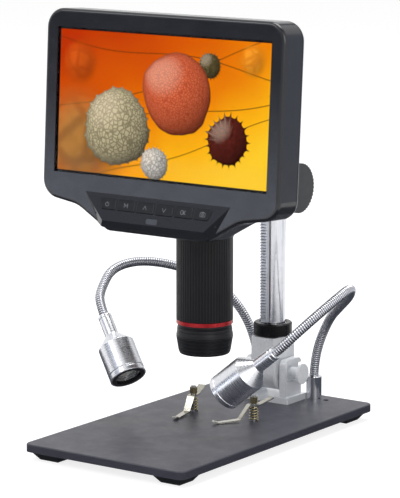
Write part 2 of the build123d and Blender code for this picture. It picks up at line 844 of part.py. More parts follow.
with BuildPart() as front_bezel:
    with BuildSketch(screen.offset(-bezel_back)):
        add(body_outline.sketch)
    extrude(amount=bezel_depth)
    fillet(front_bezel.faces().sort_by(towards_viewer)[-1].edges(), front_round)
    add(wedge.part)
    with BuildSketch(screen.offset(-bezel_back)):
        add(inner_outline(side_wall))
    extrude(amount=bezel_depth - face_wall, mode=Mode.SUBTRACT)
    with BuildSketch(screen.offset(face_out)):
        Rectangle(window_width, window_height)
    extrude(amount=-bezel_depth, mode=Mode.SUBTRACT)
    with BuildSketch(screen.offset(-bezel_back)):
        with Locations(*body_screws):
            Circle(boss_radius)
    extrude(amount=bezel_depth - face_wall)
    with BuildSketch(screen.offset(-bezel_back)):
        with Locations(*body_screws):
            Circle(screw_radius + seat_fit)
    extrude(amount=screw_length, mode=Mode.SUBTRACT)
    with BuildSketch(key_panel.offset(-key_frame_start)):
        draw_key_frame()
    extrude(amount=key_frame_start - key_board_depth)
    with BuildSketch(key_panel.offset(-key_wall)):
        Rectangle(2 * pocket_half, 2 * pocket_up)
    extrude(amount=key_wall - key_board_depth, mode=Mode.SUBTRACT)
    with BuildSketch(key_panel.offset(wedge_proud)):
        for index in range(key_count):
            add(key_face(index, key_air))
        with Locations((ir_u, -ir_drop)):
            RectangleRounded(ir_width, ir_height, ir_height / 3)
    extrude(amount=-wedge_proud - key_board_depth, mode=Mode.SUBTRACT)
    with BuildSketch(Plane.YZ.offset(-body_half - air)):
        for width, v in zip(port_widths, port_places):
            spot = screen.from_local_coords((0, v, port_out))
            with Locations(Location((spot.Y, spot.Z), 90 - screen_lean)):
                Rectangle(width + 2 * port_air, port_height + 2 * port_air)
    extrude(amount=side_wall + 2 * air, mode=Mode.SUBTRACT)
save(front_bezel, "front_bezel")

board_screws = [
    (main_board_u + side * (main_board_width / 2 - main_board_inset),
     main_board_v + step * (main_board_height / 2 - main_board_inset))
    for side in (-1, 1) for step in (-1, 1)
]
counterbore_floor = cover_back - screw_head_height

with BuildPart() as rear_cover:
    with BuildSketch(screen.offset(-cover_back)):
        add(body_outline.sketch)
    extrude(amount=cover_thickness)
    fillet(rear_cover.faces().sort_by(towards_viewer)[0].edges(), cover_round)
    with BuildSketch(screen.offset(-cover_front)):
        add(inner_outline(side_wall + lip_fit))
        add(inner_outline(side_wall + lip_fit + lip_wall), mode=Mode.SUBTRACT)
        with Locations(*body_screws):
            Circle(boss_radius + lip_fit, mode=Mode.SUBTRACT)
        with Locations((-body_half, port_places[1])):
            Rectangle(2 * port_depth, 4 * port_pitch, mode=Mode.SUBTRACT)
    extrude(amount=lip_depth)
    with BuildSketch(screen.offset(-cover_front)):
        with Locations(*board_screws):
            Circle(boss_radius)
    extrude(amount=cover_front - main_board_depth - board_thickness)
    with BuildSketch(screen.offset(-cover_front)):
        with Locations(*housing_screws):
            Circle(boss_radius)
    extrude(amount=screw_length - housing_wall - cover_thickness + air)
    with BuildSketch(screen.offset(-main_board_depth - board_thickness)):
        with Locations(*board_screws):
            Circle(screw_radius + seat_fit)
    extrude(amount=board_thickness - screw_length - air, mode=Mode.SUBTRACT)
    with BuildSketch(screen.offset(-cover_back)):
        with Locations(*housing_screws, *body_screws):
            Circle(screw_radius + seat_fit)
        with Locations((0, cable_slot_v)):
            Rectangle(cable_slot_width, cable_slot_height)
        with Locations((vent_u, vent_v)):
            with GridLocations(0, vent_pitch, 1, vent_count):
                SlotOverall(vent_length, vent_width)
    extrude(amount=screw_length, mode=Mode.SUBTRACT)
    with BuildSketch(screen.offset(-cover_back)):
        with Locations(*body_screws):
            Circle(screw_head_radius + air)
    extrude(amount=screw_head_height, mode=Mode.SUBTRACT)
save(rear_cover, "rear_cover")

with BuildPart() as screen_glass:
    with BuildSketch(screen.offset(face_out - glass_recess)):
        RectangleRounded(window_width - 2 * glass_fit, window_height - 2 * glass_fit, glass_corner)
    extrude(amount=-glass_thickness)
save(screen_glass, "screen_glass")

with BuildPart() as lcd_panel:
    with BuildSketch(screen.offset(-inner_face)):
        Rectangle(picture_width + 2 * panel_margin_x, picture_height + 2 * panel_margin_y)
    extrude(amount=-panel_thickness)
save(lcd_panel, "lcd_panel")

with BuildPart() as main_board:
    with BuildSketch(screen.offset(-main_board_depth)):
        with Locations((main_board_u, main_board_v)):
            Rectangle(main_board_width, main_board_height)
        with Locations(*board_screws):
            Circle(screw_radius + seat_fit, mode=Mode.SUBTRACT)
    extrude(amount=-board_thickness)
    with BuildSketch(screen.offset(-main_board_depth - board_thickness)):
        with Locations((main_board_u, main_board_v)):
            with GridLocations(2 * chip_size, 2 * chip_size, 2, 1):
                Rectangle(chip_size, chip_size)
    extrude(amount=-chip_height)
    with BuildSketch(screen.offset(-main_board_depth - board_thickness)):
        for width, v in zip(port_widths, port_places):
            with Locations((-body_half + side_wall / 2, v)):
                Rectangle(port_depth, width, align=(Align.MIN, Align.CENTER))
    extrude(amount=-port_height)
save(main_board, "main_board")

with BuildPart() as key_board:
    with BuildSketch(key_panel.offset(-key_board_depth)):
        draw_key_frame()
    extrude(amount=-key_board_thickness)
    with BuildSketch(key_panel.offset(-key_board_depth)):
        with Locations(*[(middle, 0) for middle in key_middles]):
            Rectangle(switch_size, switch_size)
    extrude(amount=switch_height)
    with BuildSketch(key_panel.offset(-key_board_depth)):
        with Locations((ir_u, -ir_drop)):
            Rectangle(ir_width - 4 * air, ir_height - 2 * air)
    extrude(amount=receiver_height)
save(key_board, "key_board")

with BuildPart() as ir_window:
    with BuildSketch(key_panel.offset(-air)):
        with Locations((ir_u, -ir_drop)):
            RectangleRounded(ir_width - 2 * seat_fit, ir_height - 2 * seat_fit, ir_height / 3)
    extrude(amount=-ir_thickness)
save(ir_window, "ir_window")

for index in range(key_count):
    flange_top = key_wall + key_stop
    stem_end = key_board_depth - switch_height - key_travel - key_stop
    with BuildPart() as key:
        with BuildSketch(key_panel.offset(key_proud)):
            add(key_face(index))
        extrude(amount=-key_proud - flange_top)
        chamfer(key.faces().sort_by(Axis(key_panel.origin, key_normal))[-1].edges(), key_edge)
        with BuildSketch(key_panel.offset(-flange_top)):
            add(key_face(index, key_flange))
        extrude(amount=-key_flange_thickness)
        with BuildSketch(key_panel.offset(-flange_top)):
            with Locations((key_middles[index], 0)):
                Circle(key_stem)
        extrude(amount=flange_top - stem_end)
    save(key, f"key_{index + 1}")

# ================================================================ camera housing
cover_plane = screen.offset(-cover_back)


def housing_prism(inset):
    """The housing's block behind the rear cover, drawn in by a wall on every side."""
    width = housing_width - 2 * inset
    height = housing_top - housing_bottom - 2 * inset
    with BuildPart() as prism:
        with BuildSketch(Plane.XZ.offset(inset - housing_back)):
            with Locations((0, (housing_top + housing_bottom) / 2)):
                RectangleRounded(width, height, housing_corner - inset)
        extrude(amount=housing_back - screen_y)
        split(bisect_by=cover_plane.offset(-inset), keep=Keep.BOTTOM)
    return prism.part


with BuildPart() as camera_housing:
    add(housing_prism(0))
    add(housing_prism(housing_wall), mode=Mode.SUBTRACT)
    with BuildSketch(Plane.XY.offset(housing_bottom)):
        with Locations((0, lens_y)):
            Circle(tube_radius + seat_fit)
    extrude(amount=housing_wall, mode=Mode.SUBTRACT)
    with BuildSketch(Plane.XY.offset(housing_bottom + housing_wall)):
        with Locations((0, lens_y)):
            with GridLocations(2 * board_pillar_place, 2 * board_pillar_place, 2, 2):
                Circle(board_pillar_radius)
    extrude(amount=board_pillar)
    with BuildSketch(cover_plane):
        with Locations(*housing_screws):
            Circle(screw_radius + seat_fit)
        with Locations((0, cable_slot_v)):
            Rectangle(cable_slot_width, cable_slot_height)
    extrude(amount=-housing_wall, mode=Mode.SUBTRACT)
    with BuildSketch(Plane.XZ.offset(-housing_back)):
        with Locations(*arm_screw_places):
            Circle(screw_radius + seat_fit)
    extrude(amount=housing_wall, mode=Mode.SUBTRACT)
save(camera_housing, "camera_housing")

with BuildPart() as sensor_board:
    board_bottom = housing_bottom + housing_wall + board_pillar
    with BuildSketch(Plane.XY.offset(board_bottom)):
        with Locations((0, lens_y)):
            Rectangle(sensor_board_size, sensor_board_size)
    extrude(amount=board_thickness)
    with BuildSketch(Plane.XY.offset(board_bottom)):
        with Locations((0, lens_y)):
            Rectangle(sensor_size, sensor_size)
    extrude(amount=-sensor_height)
save(sensor_board, "sensor_board")


def screw_planes():
    """The seat of every screw in the head, each plane's normal pointing out of the screw's head."""
    seats = [Plane(origin=screen.from_local_coords((u, v, -counterbore_floor)), z_dir=-screen.z_dir)
             for u, v in body_screws]
    seats += [Plane(origin=screen.from_local_coords((u, v, -cover_back - housing_wall)), z_dir=-screen.z_dir)
              for u, v in housing_screws]
    seats += [Plane(origin=screen.from_local_coords((u, v, -main_board_depth)), z_dir=screen.z_dir)
              for u, v in board_screws]
    seats += [Plane(origin=(x, housing_back - housing_wall, z), z_dir=(0, -1, 0)) for x, z in arm_screw_places]
    return seats


with BuildPart() as head_screws:
    with BuildSketch(*screw_planes()):
        Circle(screw_radius)
    extrude(amount=-screw_length)
    with BuildSketch(*screw_planes()):
        Circle(screw_head_radius)
        RegularPolygon(screw_socket, 6, mode=Mode.SUBTRACT)
    extrude(amount=screw_head_height)
save(head_screws, "head_screws")

# ================================================================ lens barrel
# Each turned piece is drawn as half a section, radius across and height up, then revolved.
section = Plane.XZ.offset(-lens_y)
optical_axis = Axis((0, lens_y, 0), (0, 0, 1))
nose_top = nose_bottom + nose_height
sleeve_bottom = nose_top + ring_height + air
tube_bottom = nose_top - tube_overlap
flange_z = housing_bottom - tube_flange

with BuildPart() as lens_mount:
    with BuildSketch(section):
        with BuildLine():
            Polyline(
                (tube_bore, tube_bottom),
                (tube_radius, tube_bottom),
                (tube_radius, flange_z),
                (tube_flange_radius, flange_z),
                (tube_flange_radius, housing_bottom),
                (tube_radius, housing_bottom),
                (tube_radius, housing_bottom + housing_wall),
                (tube_bore, housing_bottom + housing_wall),
                close=True,
            )
        make_face()
    revolve(axis=optical_axis)
save(lens_mount, "lens_mount")

with BuildPart() as focus_sleeve:
    with BuildSketch(Plane.XY.offset(sleeve_bottom)):
        with Locations((0, lens_y)):
            Circle(sleeve_radius)
            Circle(tube_radius + run_fit, mode=Mode.SUBTRACT)
            with PolarLocations(sleeve_radius, sleeve_grooves):
                Circle(sleeve_groove, mode=Mode.SUBTRACT)
    extrude(amount=flange_z - air - sleeve_bottom)
save(focus_sleeve, "focus_sleeve")

with BuildPart() as red_ring:
    with BuildSketch(Plane.XY.offset(nose_top)):
        with Locations((0, lens_y)):
            Circle(ring_radius)
            Circle(tube_radius + seat_fit, mode=Mode.SUBTRACT)
    extrude(amount=ring_height)
save(red_ring, "red_ring")

window_bottom = nose_bottom + nose_lip
belly_z = nose_bottom + nose_belly_rise

with BuildPart() as lens_nose:
    with BuildSketch(section):
        with BuildLine():
            Polyline(
                (nose_mouth, nose_bottom),
                (nose_tip_radius, nose_bottom),
                (nose_belly_radius, belly_z - nose_groove),
                (nose_belly_radius - nose_groove, belly_z),
                (nose_belly_radius, belly_z + nose_groove),
                (nose_waist_radius, nose_top),
                (tube_radius + seat_fit, nose_top),
                (tube_radius + seat_fit, tube_bottom),
                (tube_bore, tube_bottom),
                (tube_bore, window_bottom + window_thickness),
                (window_radius + seat_fit, window_bottom + window_thickness),
                (window_radius + seat_fit, window_bottom),
                (nose_mouth, window_bottom),
                close=True,
            )
        make_face()
    revolve(axis=optical_axis)
save(lens_nose, "lens_nose")

with BuildPart() as front_window:
    with BuildSketch(Plane.XY.offset(window_bottom)):
        with Locations((0, lens_y)):
            Circle(window_radius)
    extrude(amount=window_thickness)
save(front_window, "front_window")

cell_bottom = nose_bottom + cell_rise
cell_bore = cell_radius - cell_wall

with BuildPart() as lens_cell:
    with BuildSketch(section):
        with BuildLine():
            Polyline(
                (cell_bore, cell_bottom),
                (cell_radius, cell_bottom),
                (cell_radius, cell_bottom + cell_height),
                (cell_bore, cell_bottom + cell_height),
                (cell_bore, cell_bottom + cell_height - cell_recess),
                (cell_bore - cell_ledge, cell_bottom + cell_height - cell_recess),
                (cell_bore - cell_ledge, cell_bottom + cell_recess),
                (cell_bore, cell_bottom + cell_recess),
                close=True,
            )
        make_face()
    revolve(axis=optical_axis)
save(lens_cell, "lens_cell")

with BuildPart() as lens_elements:
    aperture = lens_radius - lens_rim
    curve = (aperture**2 + lens_bulge**2) / (2 * lens_bulge)
    half_way = lens_bulge - curve + sqrt(curve**2 - (aperture / 2) ** 2)
    for seat in (cell_bottom + cell_recess - lens_edge, cell_bottom + cell_height - cell_recess):
        lens_top = seat + lens_edge
        with BuildSketch(section):
            with BuildLine():
                Line((0, seat - lens_bulge), (0, lens_top + lens_bulge))
                ThreePointArc((0, lens_top + lens_bulge), (aperture / 2, lens_top + half_way), (aperture, lens_top))
                Polyline((aperture, lens_top), (lens_radius, lens_top), (lens_radius, seat), (aperture, seat))
                ThreePointArc((aperture, seat), (aperture / 2, seat - half_way), (0, seat - lens_bulge))
            make_face()
        revolve(axis=optical_axis)
save(lens_elements, "lens_elements")

# ================================================================ stage clips
with BuildPart() as clip_studs:
    with BuildSketch(Plane.XY.offset(foot_height)):
        with Locations(*clip_places.values()):
            Circle(stud_radius)
    extrude(amount=plate_thickness + stud_height)
    with BuildSketch(Plane.XY.offset(foot_height)):
        with Locations(*clip_places.values()):
            RegularPolygon(hexagon_radius(stud_head_size), 6)
    extrude(amount=-stud_head_thickness)
save(clip_studs, "clip_studs")

spring_top = strip_rise - strip_thickness / 2 - spring_room
spring_height = spring_top - 2 * spring_wire

with BuildPart() as clip_springs:
    for x, y in clip_places.values():
        with BuildLine():
            coil = Helix(spring_height / spring_turns, spring_height, spring_radius,
                         center=(x, y, plate_top + spring_wire))
        with BuildSketch(Plane(origin=coil @ 0, z_dir=coil % 0)):
            Circle(spring_wire)
        sweep(is_frenet=True)
save(clip_springs, "clip_springs")

for side in clip_places:
    place_x, place_y = clip_places[side]
    turn = radians(clip_turns[side])
    along = Vector(sin(turn), -cos(turn), 0)
    with BuildPart() as clip_strip:
        with BuildSketch(Plane(origin=(place_x, place_y, plate_top), x_dir=along, z_dir=(along.Y, -along.X, 0))):
            with BuildLine():
                FilletPolyline(
                    (-strip_tail, strip_tail_rise),
                    (-strip_flat, strip_rise),
                    (strip_flat, strip_rise),
                    (strip_knee, strip_knee_rise),
                    (strip_toe, strip_toe_rise),
                    (strip_tip, strip_tip_rise),
                    radius=strip_bend,
                )
            trace(line_width=strip_thickness)
        extrude(amount=strip_width, both=True)
        with BuildSketch(Plane(origin=(place_x, place_y, plate_top), x_dir=along, z_dir=(0, 0, 1))):
            with BuildLine():
                Polyline(
                    (-strip_tail - strip_width, strip_width / 2),
                    (strip_flat, strip_width / 2),
                    (strip_tip + strip_width, strip_tip_width / 2),
                    (strip_tip + strip_width, -strip_tip_width / 2),
                    (strip_flat, -strip_width / 2),
                    (-strip_tail - strip_width, -strip_width / 2),
                    close=True,
                )
            make_face()
            Circle(strip_hole, mode=Mode.SUBTRACT)
        extrude(amount=strip_tail_rise + strip_width, mode=Mode.INTERSECT)
    save(clip_strip, f"clip_strip_{side}")

    nut_bottom = plate_top + strip_rise + strip_thickness / 2 + nut_gap
    with BuildPart() as clip_nut:
        with BuildSketch(Plane.XY.offset(nut_bottom)):
            with Locations((place_x, place_y)):
                Circle(nut_neck_radius)
        extrude(amount=nut_neck_height)
        with BuildSketch(Plane.XY.offset(nut_bottom + nut_neck_height)):
            with Locations((place_x, place_y)):
                Circle(nut_radius)
                with PolarLocations(nut_radius, nut_knurls):
                    Circle(nut_knurl_radius, mode=Mode.SUBTRACT)
        extrude(amount=nut_height)
        with BuildSketch(Plane.XY.offset(nut_bottom)):
            with Locations((place_x, place_y)):
                Circle(stud_radius + run_fit)
        extrude(amount=nut_neck_height + nut_height, mode=Mode.SUBTRACT)
    save(clip_nut, f"clip_nut_{side}")

# ================================================================ lamps
socket_top = plate_top + socket_height
foot_pivot_z = socket_top + air + neck_radius

with BuildPart() as lamp_sockets:
    with BuildSketch(Plane.XY.offset(plate_top)):
        with Locations(*lamp_feet):
            Circle(socket_radius)
    extrude(amount=socket_height)
    chamfer(lamp_sockets.faces().group_by(Axis.Z)[-1].edges(), socket_chamfer)
    with BuildSketch(Plane.XY.offset(plate_top)):
        with Locations(*lamp_feet):
            Circle(socket_stem)
    extrude(amount=-socket_stem_drop)
save(lamp_sockets, "lamp_sockets")

with BuildPart() as socket_nuts:
    with BuildSketch(Plane.XY.offset(foot_height)):
        with Locations(*lamp_feet):
            RegularPolygon(hexagon_radius(socket_nut_size), 6)
            Circle(socket_stem + seat_fit, mode=Mode.SUBTRACT)
    extrude(amount=-socket_nut_thickness)
save(socket_nuts, "socket_nuts")


def bend_radii(route):
    """The largest even bend that the two runs at each inner point leave room for."""
    radii = []
    for before, corner, after in zip(route, route[1:], route[2:]):
        arriving = Vector(corner) - Vector(before)
        leaving = Vector(after) - Vector(corner)
        half_turn = radians(arriving.get_angle(leaving)) / 2
        radii.append(bend_share * min(arriving.length, leaving.length) / tan(half_turn))
    return radii


def neck_tube(route):
    """A bent tube along a route, with a round end at its first point."""
    radii = bend_radii(route)
    with BuildPart() as tube:
        with BuildLine() as path:
            FilletPolyline(*route, radius=radii)
        middle_line = path.wire()
        with BuildSketch(Plane(origin=middle_line @ 0, z_dir=middle_line % 0)):
            Circle(neck_radius)
        sweep()
        swept = tube.part.volume / (pi * neck_radius**2 * middle_line.length)
        with Locations(route[0]):
            Sphere(neck_radius)
    print("neck", [round(radius) for radius in radii], round(middle_line.length, 1), round(swept, 4))
    return tube


for side, lamp in lamps.items():
    aim = Vector(lamp["aim"]).normalized()
    mouth = Vector(lamp["mouth"])
    lamp_hinge = mouth - aim * lamp_pivot
    foot_pivot = Vector(*lamp["foot"], foot_pivot_z)
    bend_start = Vector(lamp["lower_route"][-1])
    bend_end = Vector(lamp["upper_route"][0])
    bend_run = (bend_end - bend_start).normalized()
    bend_pivot = (bend_start + bend_end) / 2
    lower_end = bend_pivot - bend_run * (neck_radius + air)
    upper_corner = lamp_hinge - aim * lamp["last_run"]
    upper_end = lamp_hinge - aim * (lamp_collar + air)
    save(neck_tube([foot_pivot, *lamp["lower_route"], lower_end]), f"gooseneck_lower_{side}")
    save(neck_tube([bend_pivot, *lamp["upper_route"], upper_corner, upper_end]), f"gooseneck_upper_{side}")

    # Half sections of the lamp: radius across, depth behind the mouth up.
    across = aim.cross(Vector(0, 0, 1)).normalized()
    lamp_section = Plane(origin=mouth, x_dir=across, z_dir=across.cross(-aim))
    lamp_axis = Axis(mouth, aim)
    cone_end = lamp_barrel + lamp_cone
    led_face = lamp_cavity - led_board_thickness - led_height
    with BuildPart() as lamp_housing:
        with BuildSketch(lamp_section):
            with BuildLine():
                Polyline(
                    (0, lamp_cavity),
                    (lamp_bore, lamp_cavity),
                    (lamp_bore, lamp_ring_depth),
                    (lamp_ring_seat, lamp_ring_depth),
                    (lamp_ring_seat, 0),
                    (lamp_radius, 0),
                    (lamp_radius, lamp_groove_depth - lamp_groove),
                    (lamp_radius - lamp_groove, lamp_groove_depth),
                    (lamp_radius, lamp_groove_depth + lamp_groove),
                    (lamp_radius, lamp_barrel),
                    (lamp_collar, cone_end),
                    (lamp_collar, lamp_pivot),
                )
                CenterArc((0, lamp_pivot), lamp_collar, 0, 90)
                Line((0, lamp_pivot + lamp_collar), (0, lamp_cavity))
            make_face()
        revolve(axis=lamp_axis)
    save(lamp_housing, f"lamp_housing_{side}")

    with BuildPart() as lamp_ring:
        with BuildSketch(Plane(origin=mouth, z_dir=aim)):
            Circle(lamp_ring_seat - seat_fit)
            Circle(lamp_ring_bore, mode=Mode.SUBTRACT)
        extrude(amount=-lamp_ring_depth)
    save(lamp_ring, f"lamp_ring_{side}")

    with BuildPart() as lamp_optic:
        with BuildSketch(lamp_section):
            with BuildLine():
                Polyline(
                    (0, lamp_ring_depth),
                    (lamp_bore - seat_fit, lamp_ring_depth),
                    (lamp_bore - seat_fit, lamp_ring_depth + optic_rim),
                    (optic_back, led_face - led_gap),
                    (0, led_face - led_gap),
                    close=True,
                )
            make_face()
        revolve(axis=lamp_axis)
    save(lamp_optic, f"lamp_optic_{side}")

    with BuildPart() as lamp_led:
        with BuildSketch(Plane(origin=mouth - aim * lamp_cavity, z_dir=aim)):
            Circle(lamp_bore - seat_fit)
        extrude(amount=led_board_thickness)
        with BuildSketch(Plane(origin=mouth - aim * (led_face + led_height), z_dir=aim)):
            Rectangle(led_size, led_size)
        extrude(amount=led_height)
    save(lamp_led, f"lamp_led_{side}")
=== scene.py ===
"""A stand microscope with its own colour display: finishes, goosenecks, lamps, keys, picture and studio."""

import math

import bmesh
import bpy
from bpy.props import FloatProperty, FloatVectorProperty, IntProperty, PointerProperty
from mathutils import Matrix, Vector
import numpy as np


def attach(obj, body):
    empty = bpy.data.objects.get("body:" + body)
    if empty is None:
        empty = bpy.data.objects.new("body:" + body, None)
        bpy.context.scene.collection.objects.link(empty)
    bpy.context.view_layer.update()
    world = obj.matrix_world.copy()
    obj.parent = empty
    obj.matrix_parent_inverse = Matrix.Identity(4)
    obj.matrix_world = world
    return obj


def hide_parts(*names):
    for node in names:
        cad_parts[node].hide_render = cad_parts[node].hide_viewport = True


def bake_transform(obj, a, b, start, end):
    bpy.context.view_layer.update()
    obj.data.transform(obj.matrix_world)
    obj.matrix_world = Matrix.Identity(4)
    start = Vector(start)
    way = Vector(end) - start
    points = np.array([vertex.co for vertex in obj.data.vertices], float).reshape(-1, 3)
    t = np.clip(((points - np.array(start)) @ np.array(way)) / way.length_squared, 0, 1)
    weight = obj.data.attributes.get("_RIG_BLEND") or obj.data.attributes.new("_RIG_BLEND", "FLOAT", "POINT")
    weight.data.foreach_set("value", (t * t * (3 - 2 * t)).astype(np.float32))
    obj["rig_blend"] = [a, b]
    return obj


bl_info = {
    "name": "Stand microscope",
    "version": (1, 0, 0),
    "blender": (4, 5, 0),
    "location": "3D View > Sidebar > Microscope",
    "description": "Builds the visible pieces of a stand microscope on its packed frame",
    "category": "Object",
}

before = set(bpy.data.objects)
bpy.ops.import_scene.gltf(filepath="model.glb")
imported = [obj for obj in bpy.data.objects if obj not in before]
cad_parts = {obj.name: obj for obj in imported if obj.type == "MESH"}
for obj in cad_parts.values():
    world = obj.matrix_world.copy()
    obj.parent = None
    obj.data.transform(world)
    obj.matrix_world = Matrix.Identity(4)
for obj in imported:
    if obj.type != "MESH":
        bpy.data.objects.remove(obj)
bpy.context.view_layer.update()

MM = 0.001
SIDES = ("left", "right")
UP = Vector((0.0, 0.0, 1.0))

# ---------------------------------------------------------------- places on the frame, in millimetres
LENS_Y = 1.0
SCREEN_MIDDLE = Vector((0.0, -44.7, 212.0))
SCREEN_LEAN = math.radians(3.5)
PICTURE_SIZE = (154.2, 85.9)
PICTURE_DEPTH = (-1.19, -1.13)
KEY_PANEL_MIDDLE = (0.0, -60.6, 2.287)
KEY_PANEL_LEAN = math.atan2(3.9, 16.0)
KEY_PITCH = 14.1
KEY_PROUD = 0.5
MARK_SUNK = 0.05
MARK_PROUD = 0.04
PORT_WIDTHS = (9.0, 11.2, 12.0)
PORT_ROWS = (8.0, -8.0, -24.0)
PORT_DEPTH = -12.1
PORT_FACE_X = -86.25
PORT_SUNK = 0.05
PORT_PROUD = 1.0
NOSE_BELLY = 65.9
NOSE_BELLY_RADIUS = 17.65
NOSE_TAPER_ABOVE = 1.05 / 8.2
NOSE_TAPER_BELOW = 1.75 / 10.6
NOSE_RIDGE_TOPS = (71.6, 68.3, 65.9, 63.6, 61.3, 59.0)
NOSE_RIDGE = 2.0
NOSE_GROOVE_DEPTH = 0.3
LAMP_PIVOT = 41.8
LAMP_MOUTH = {"left": (-43.3, -20.0, 37.3), "right": (28.9, -20.1, 37.4)}
LAMP_AIM = {"left": (0.613, -0.269, -0.743), "right": (-0.771, -0.083, -0.631)}
NECK_LAST_RUN = {"left": 14.2, "right": 9.4}
NECK_FOOT = {"left": (-21.2, 93.2, 24.9), "right": (21.2, 93.2, 24.9)}
NECK_LOWER = {
    "left": [(-23.1, 92.1, 45.4), (-33.7, 84.1, 71.4), (-52.0, 67.5, 90.2)],
    "right": [(22.3, 92.0, 39.6), (36.1, 86.1, 65.6), (56.2, 68.0, 79.4)],
}
NECK_UPPER = {
    "left": [(-74.2, 42.1, 99.6), (-85.1, 19.4, 97.1), (-81.9, 2.9, 85.4)],
    "right": [(74.5, 51.0, 91.3), (83.0, 38.7, 99.7), (83.2, 18.2, 94.1), (77.8, -7.4, 81.4)],
}
NECK_FOOT_LENGTH = 30
NECK_TIP_LENGTH = 26
NECK_TURN = (3, 18)  # from a pivot to where the tube starts and ends its turn
NECK_BEND_REACH = 14  # to each side of the middle pivot

# ---------------------------------------------------------------- limits of the mesh and node work
ON_AXIS = 1e-6  # a smaller radius counts as none, in millimetres
SMALLEST_CORNER = 1e-4  # a smaller corner stays as it is, in millimetres
STRAIGHT_ON = -0.999  # cosine between the two arms of a corner that is none
SHARPEST_MITRE = 0.35  # cosine at which a mitre stops growing
MAP_LENGTH = 60.0  # millimetres of profile in one length of a turned piece's map
NOISE_REACH = (0.3, 0.7)  # where most values of a noise lie
EDGE_TURN = (0.98, 0.8)  # cosines from the first to the full wear of an edge
FLECKS = (0.93, 1.07)  # how dark and how light a grain's flecks are


def tint(red, green, blue):
    """A display colour, each part from 0 to 255, as linear light."""
    def linear(value):
        share = value / 255
        return share / 12.92 if share <= 0.04045 else ((share + 0.055) / 1.055) ** 2.4

    return (linear(red), linear(green), linear(blue))


# ---------------------------------------------------------------- settings
class HeadSettings(bpy.types.PropertyGroup):
    """Colours of the display head and its keys."""

    shell: FloatVectorProperty(
        name="Shell", description="Moulded shell of the head", subtype="COLOR",
        default=tint(31, 32, 37), min=0, max=1
    )
    key: FloatVectorProperty(
        name="Keys", description="Key caps", subtype="COLOR", default=tint(26, 27, 31), min=0, max=1
    )
    icon: FloatVectorProperty(
        name="Key marks", description="Printed marks on the keys", subtype="COLOR",
        default=tint(112, 114, 122), min=0, max=1
    )
    mark_width: FloatProperty(
        name="Mark width", description="Width of a printed line", default=0.34 * MM, unit="LENGTH"
    )
    brightness: FloatProperty(
        name="Picture brightness", description="How bright the display shines", default=1.0, min=0, max=5
    )


class NeckSettings(bpy.types.PropertyGroup):
    """Sizes and colour of the goosenecks."""

    radius: FloatProperty(name="Radius", description="Radius over the ribs", default=3.0 * MM, unit="LENGTH")
    pitch: FloatProperty(name="Pitch", description="From one rib to the next", default=1.5 * MM, unit="LENGTH")
    groove: FloatProperty(name="Groove", description="Depth between two ribs", default=0.5 * MM, unit="LENGTH")
    samples: IntProperty(name="Samples", description="Rings of points on each rib", default=8, min=4, max=16)
    around: IntProperty(name="Sides", description="Points round the tube", default=24, min=8, max=64)
    metal: FloatVectorProperty(
        name="Metal", description="Plated steel", subtype="COLOR", default=tint(194, 195, 201), min=0, max=1
    )


class LampSettings(bpy.types.PropertyGroup):
    """Sizes and colours of the two lamps."""

    radius: FloatProperty(name="Radius", description="Radius of the barrel", default=11.6 * MM, unit="LENGTH")
    barrel: FloatProperty(name="Barrel", description="Length of the barrel", default=22.9 * MM, unit="LENGTH")
    cone: FloatProperty(name="Cone", description="Length of the cone", default=7.8 * MM, unit="LENGTH")
    collar: FloatProperty(name="Collar", description="Radius of the collar", default=4.3 * MM, unit="LENGTH")
    metal: FloatVectorProperty(
        name="Metal", description="Turned aluminium", subtype="COLOR", default=tint(228, 229, 233), min=0, max=1
    )


class StandSettings(bpy.types.PropertyGroup):
    """Colours of the stand."""

    plate: FloatVectorProperty(
        name="Plate", description="Powder coat of the base plate", subtype="COLOR",
        default=tint(54, 54, 65), min=0, max=1
    )
    cast: FloatVectorProperty(
        name="Castings", description="Tilt bracket and block", subtype="COLOR",
        default=tint(236, 238, 241), min=0, max=1
    )
    steel: FloatVectorProperty(
        name="Steel", description="Post and rack", subtype="COLOR", default=tint(214, 215, 220), min=0, max=1
    )
    ring: FloatVectorProperty(
        name="Ring", description="Ring round the barrel", subtype="COLOR",
        default=tint(164, 18, 28), min=0, max=1
    )


class StudioSettings(bpy.types.PropertyGroup):
    """Light of the studio."""

    key_power: FloatProperty(name="Key light", description="Watts of the large soft lamp", default=14.0, min=0)
    fill_power: FloatProperty(name="Fill light", description="Watts of the fill lamp", default=7.0, min=0)
    top_power: FloatProperty(name="Top light", description="Watts of the lamp overhead", default=20.0, min=0)
    ambient: FloatProperty(name="Ambient", description="Light from all round", default=0.35, min=0)


class MicroscopeSettings(bpy.types.PropertyGroup):
    """All sizes and colours of the microscope."""

    head: PointerProperty(type=HeadSettings, name="Head", description="Display head")
    neck: PointerProperty(type=NeckSettings, name="Goosenecks", description="Both goosenecks")
    lamp: PointerProperty(type=LampSettings, name="Lamps", description="Both lamps")
    stand: PointerProperty(type=StandSettings, name="Stand", description="Base, bracket and post")
    studio: PointerProperty(type=StudioSettings, name="Studio", description="Light")


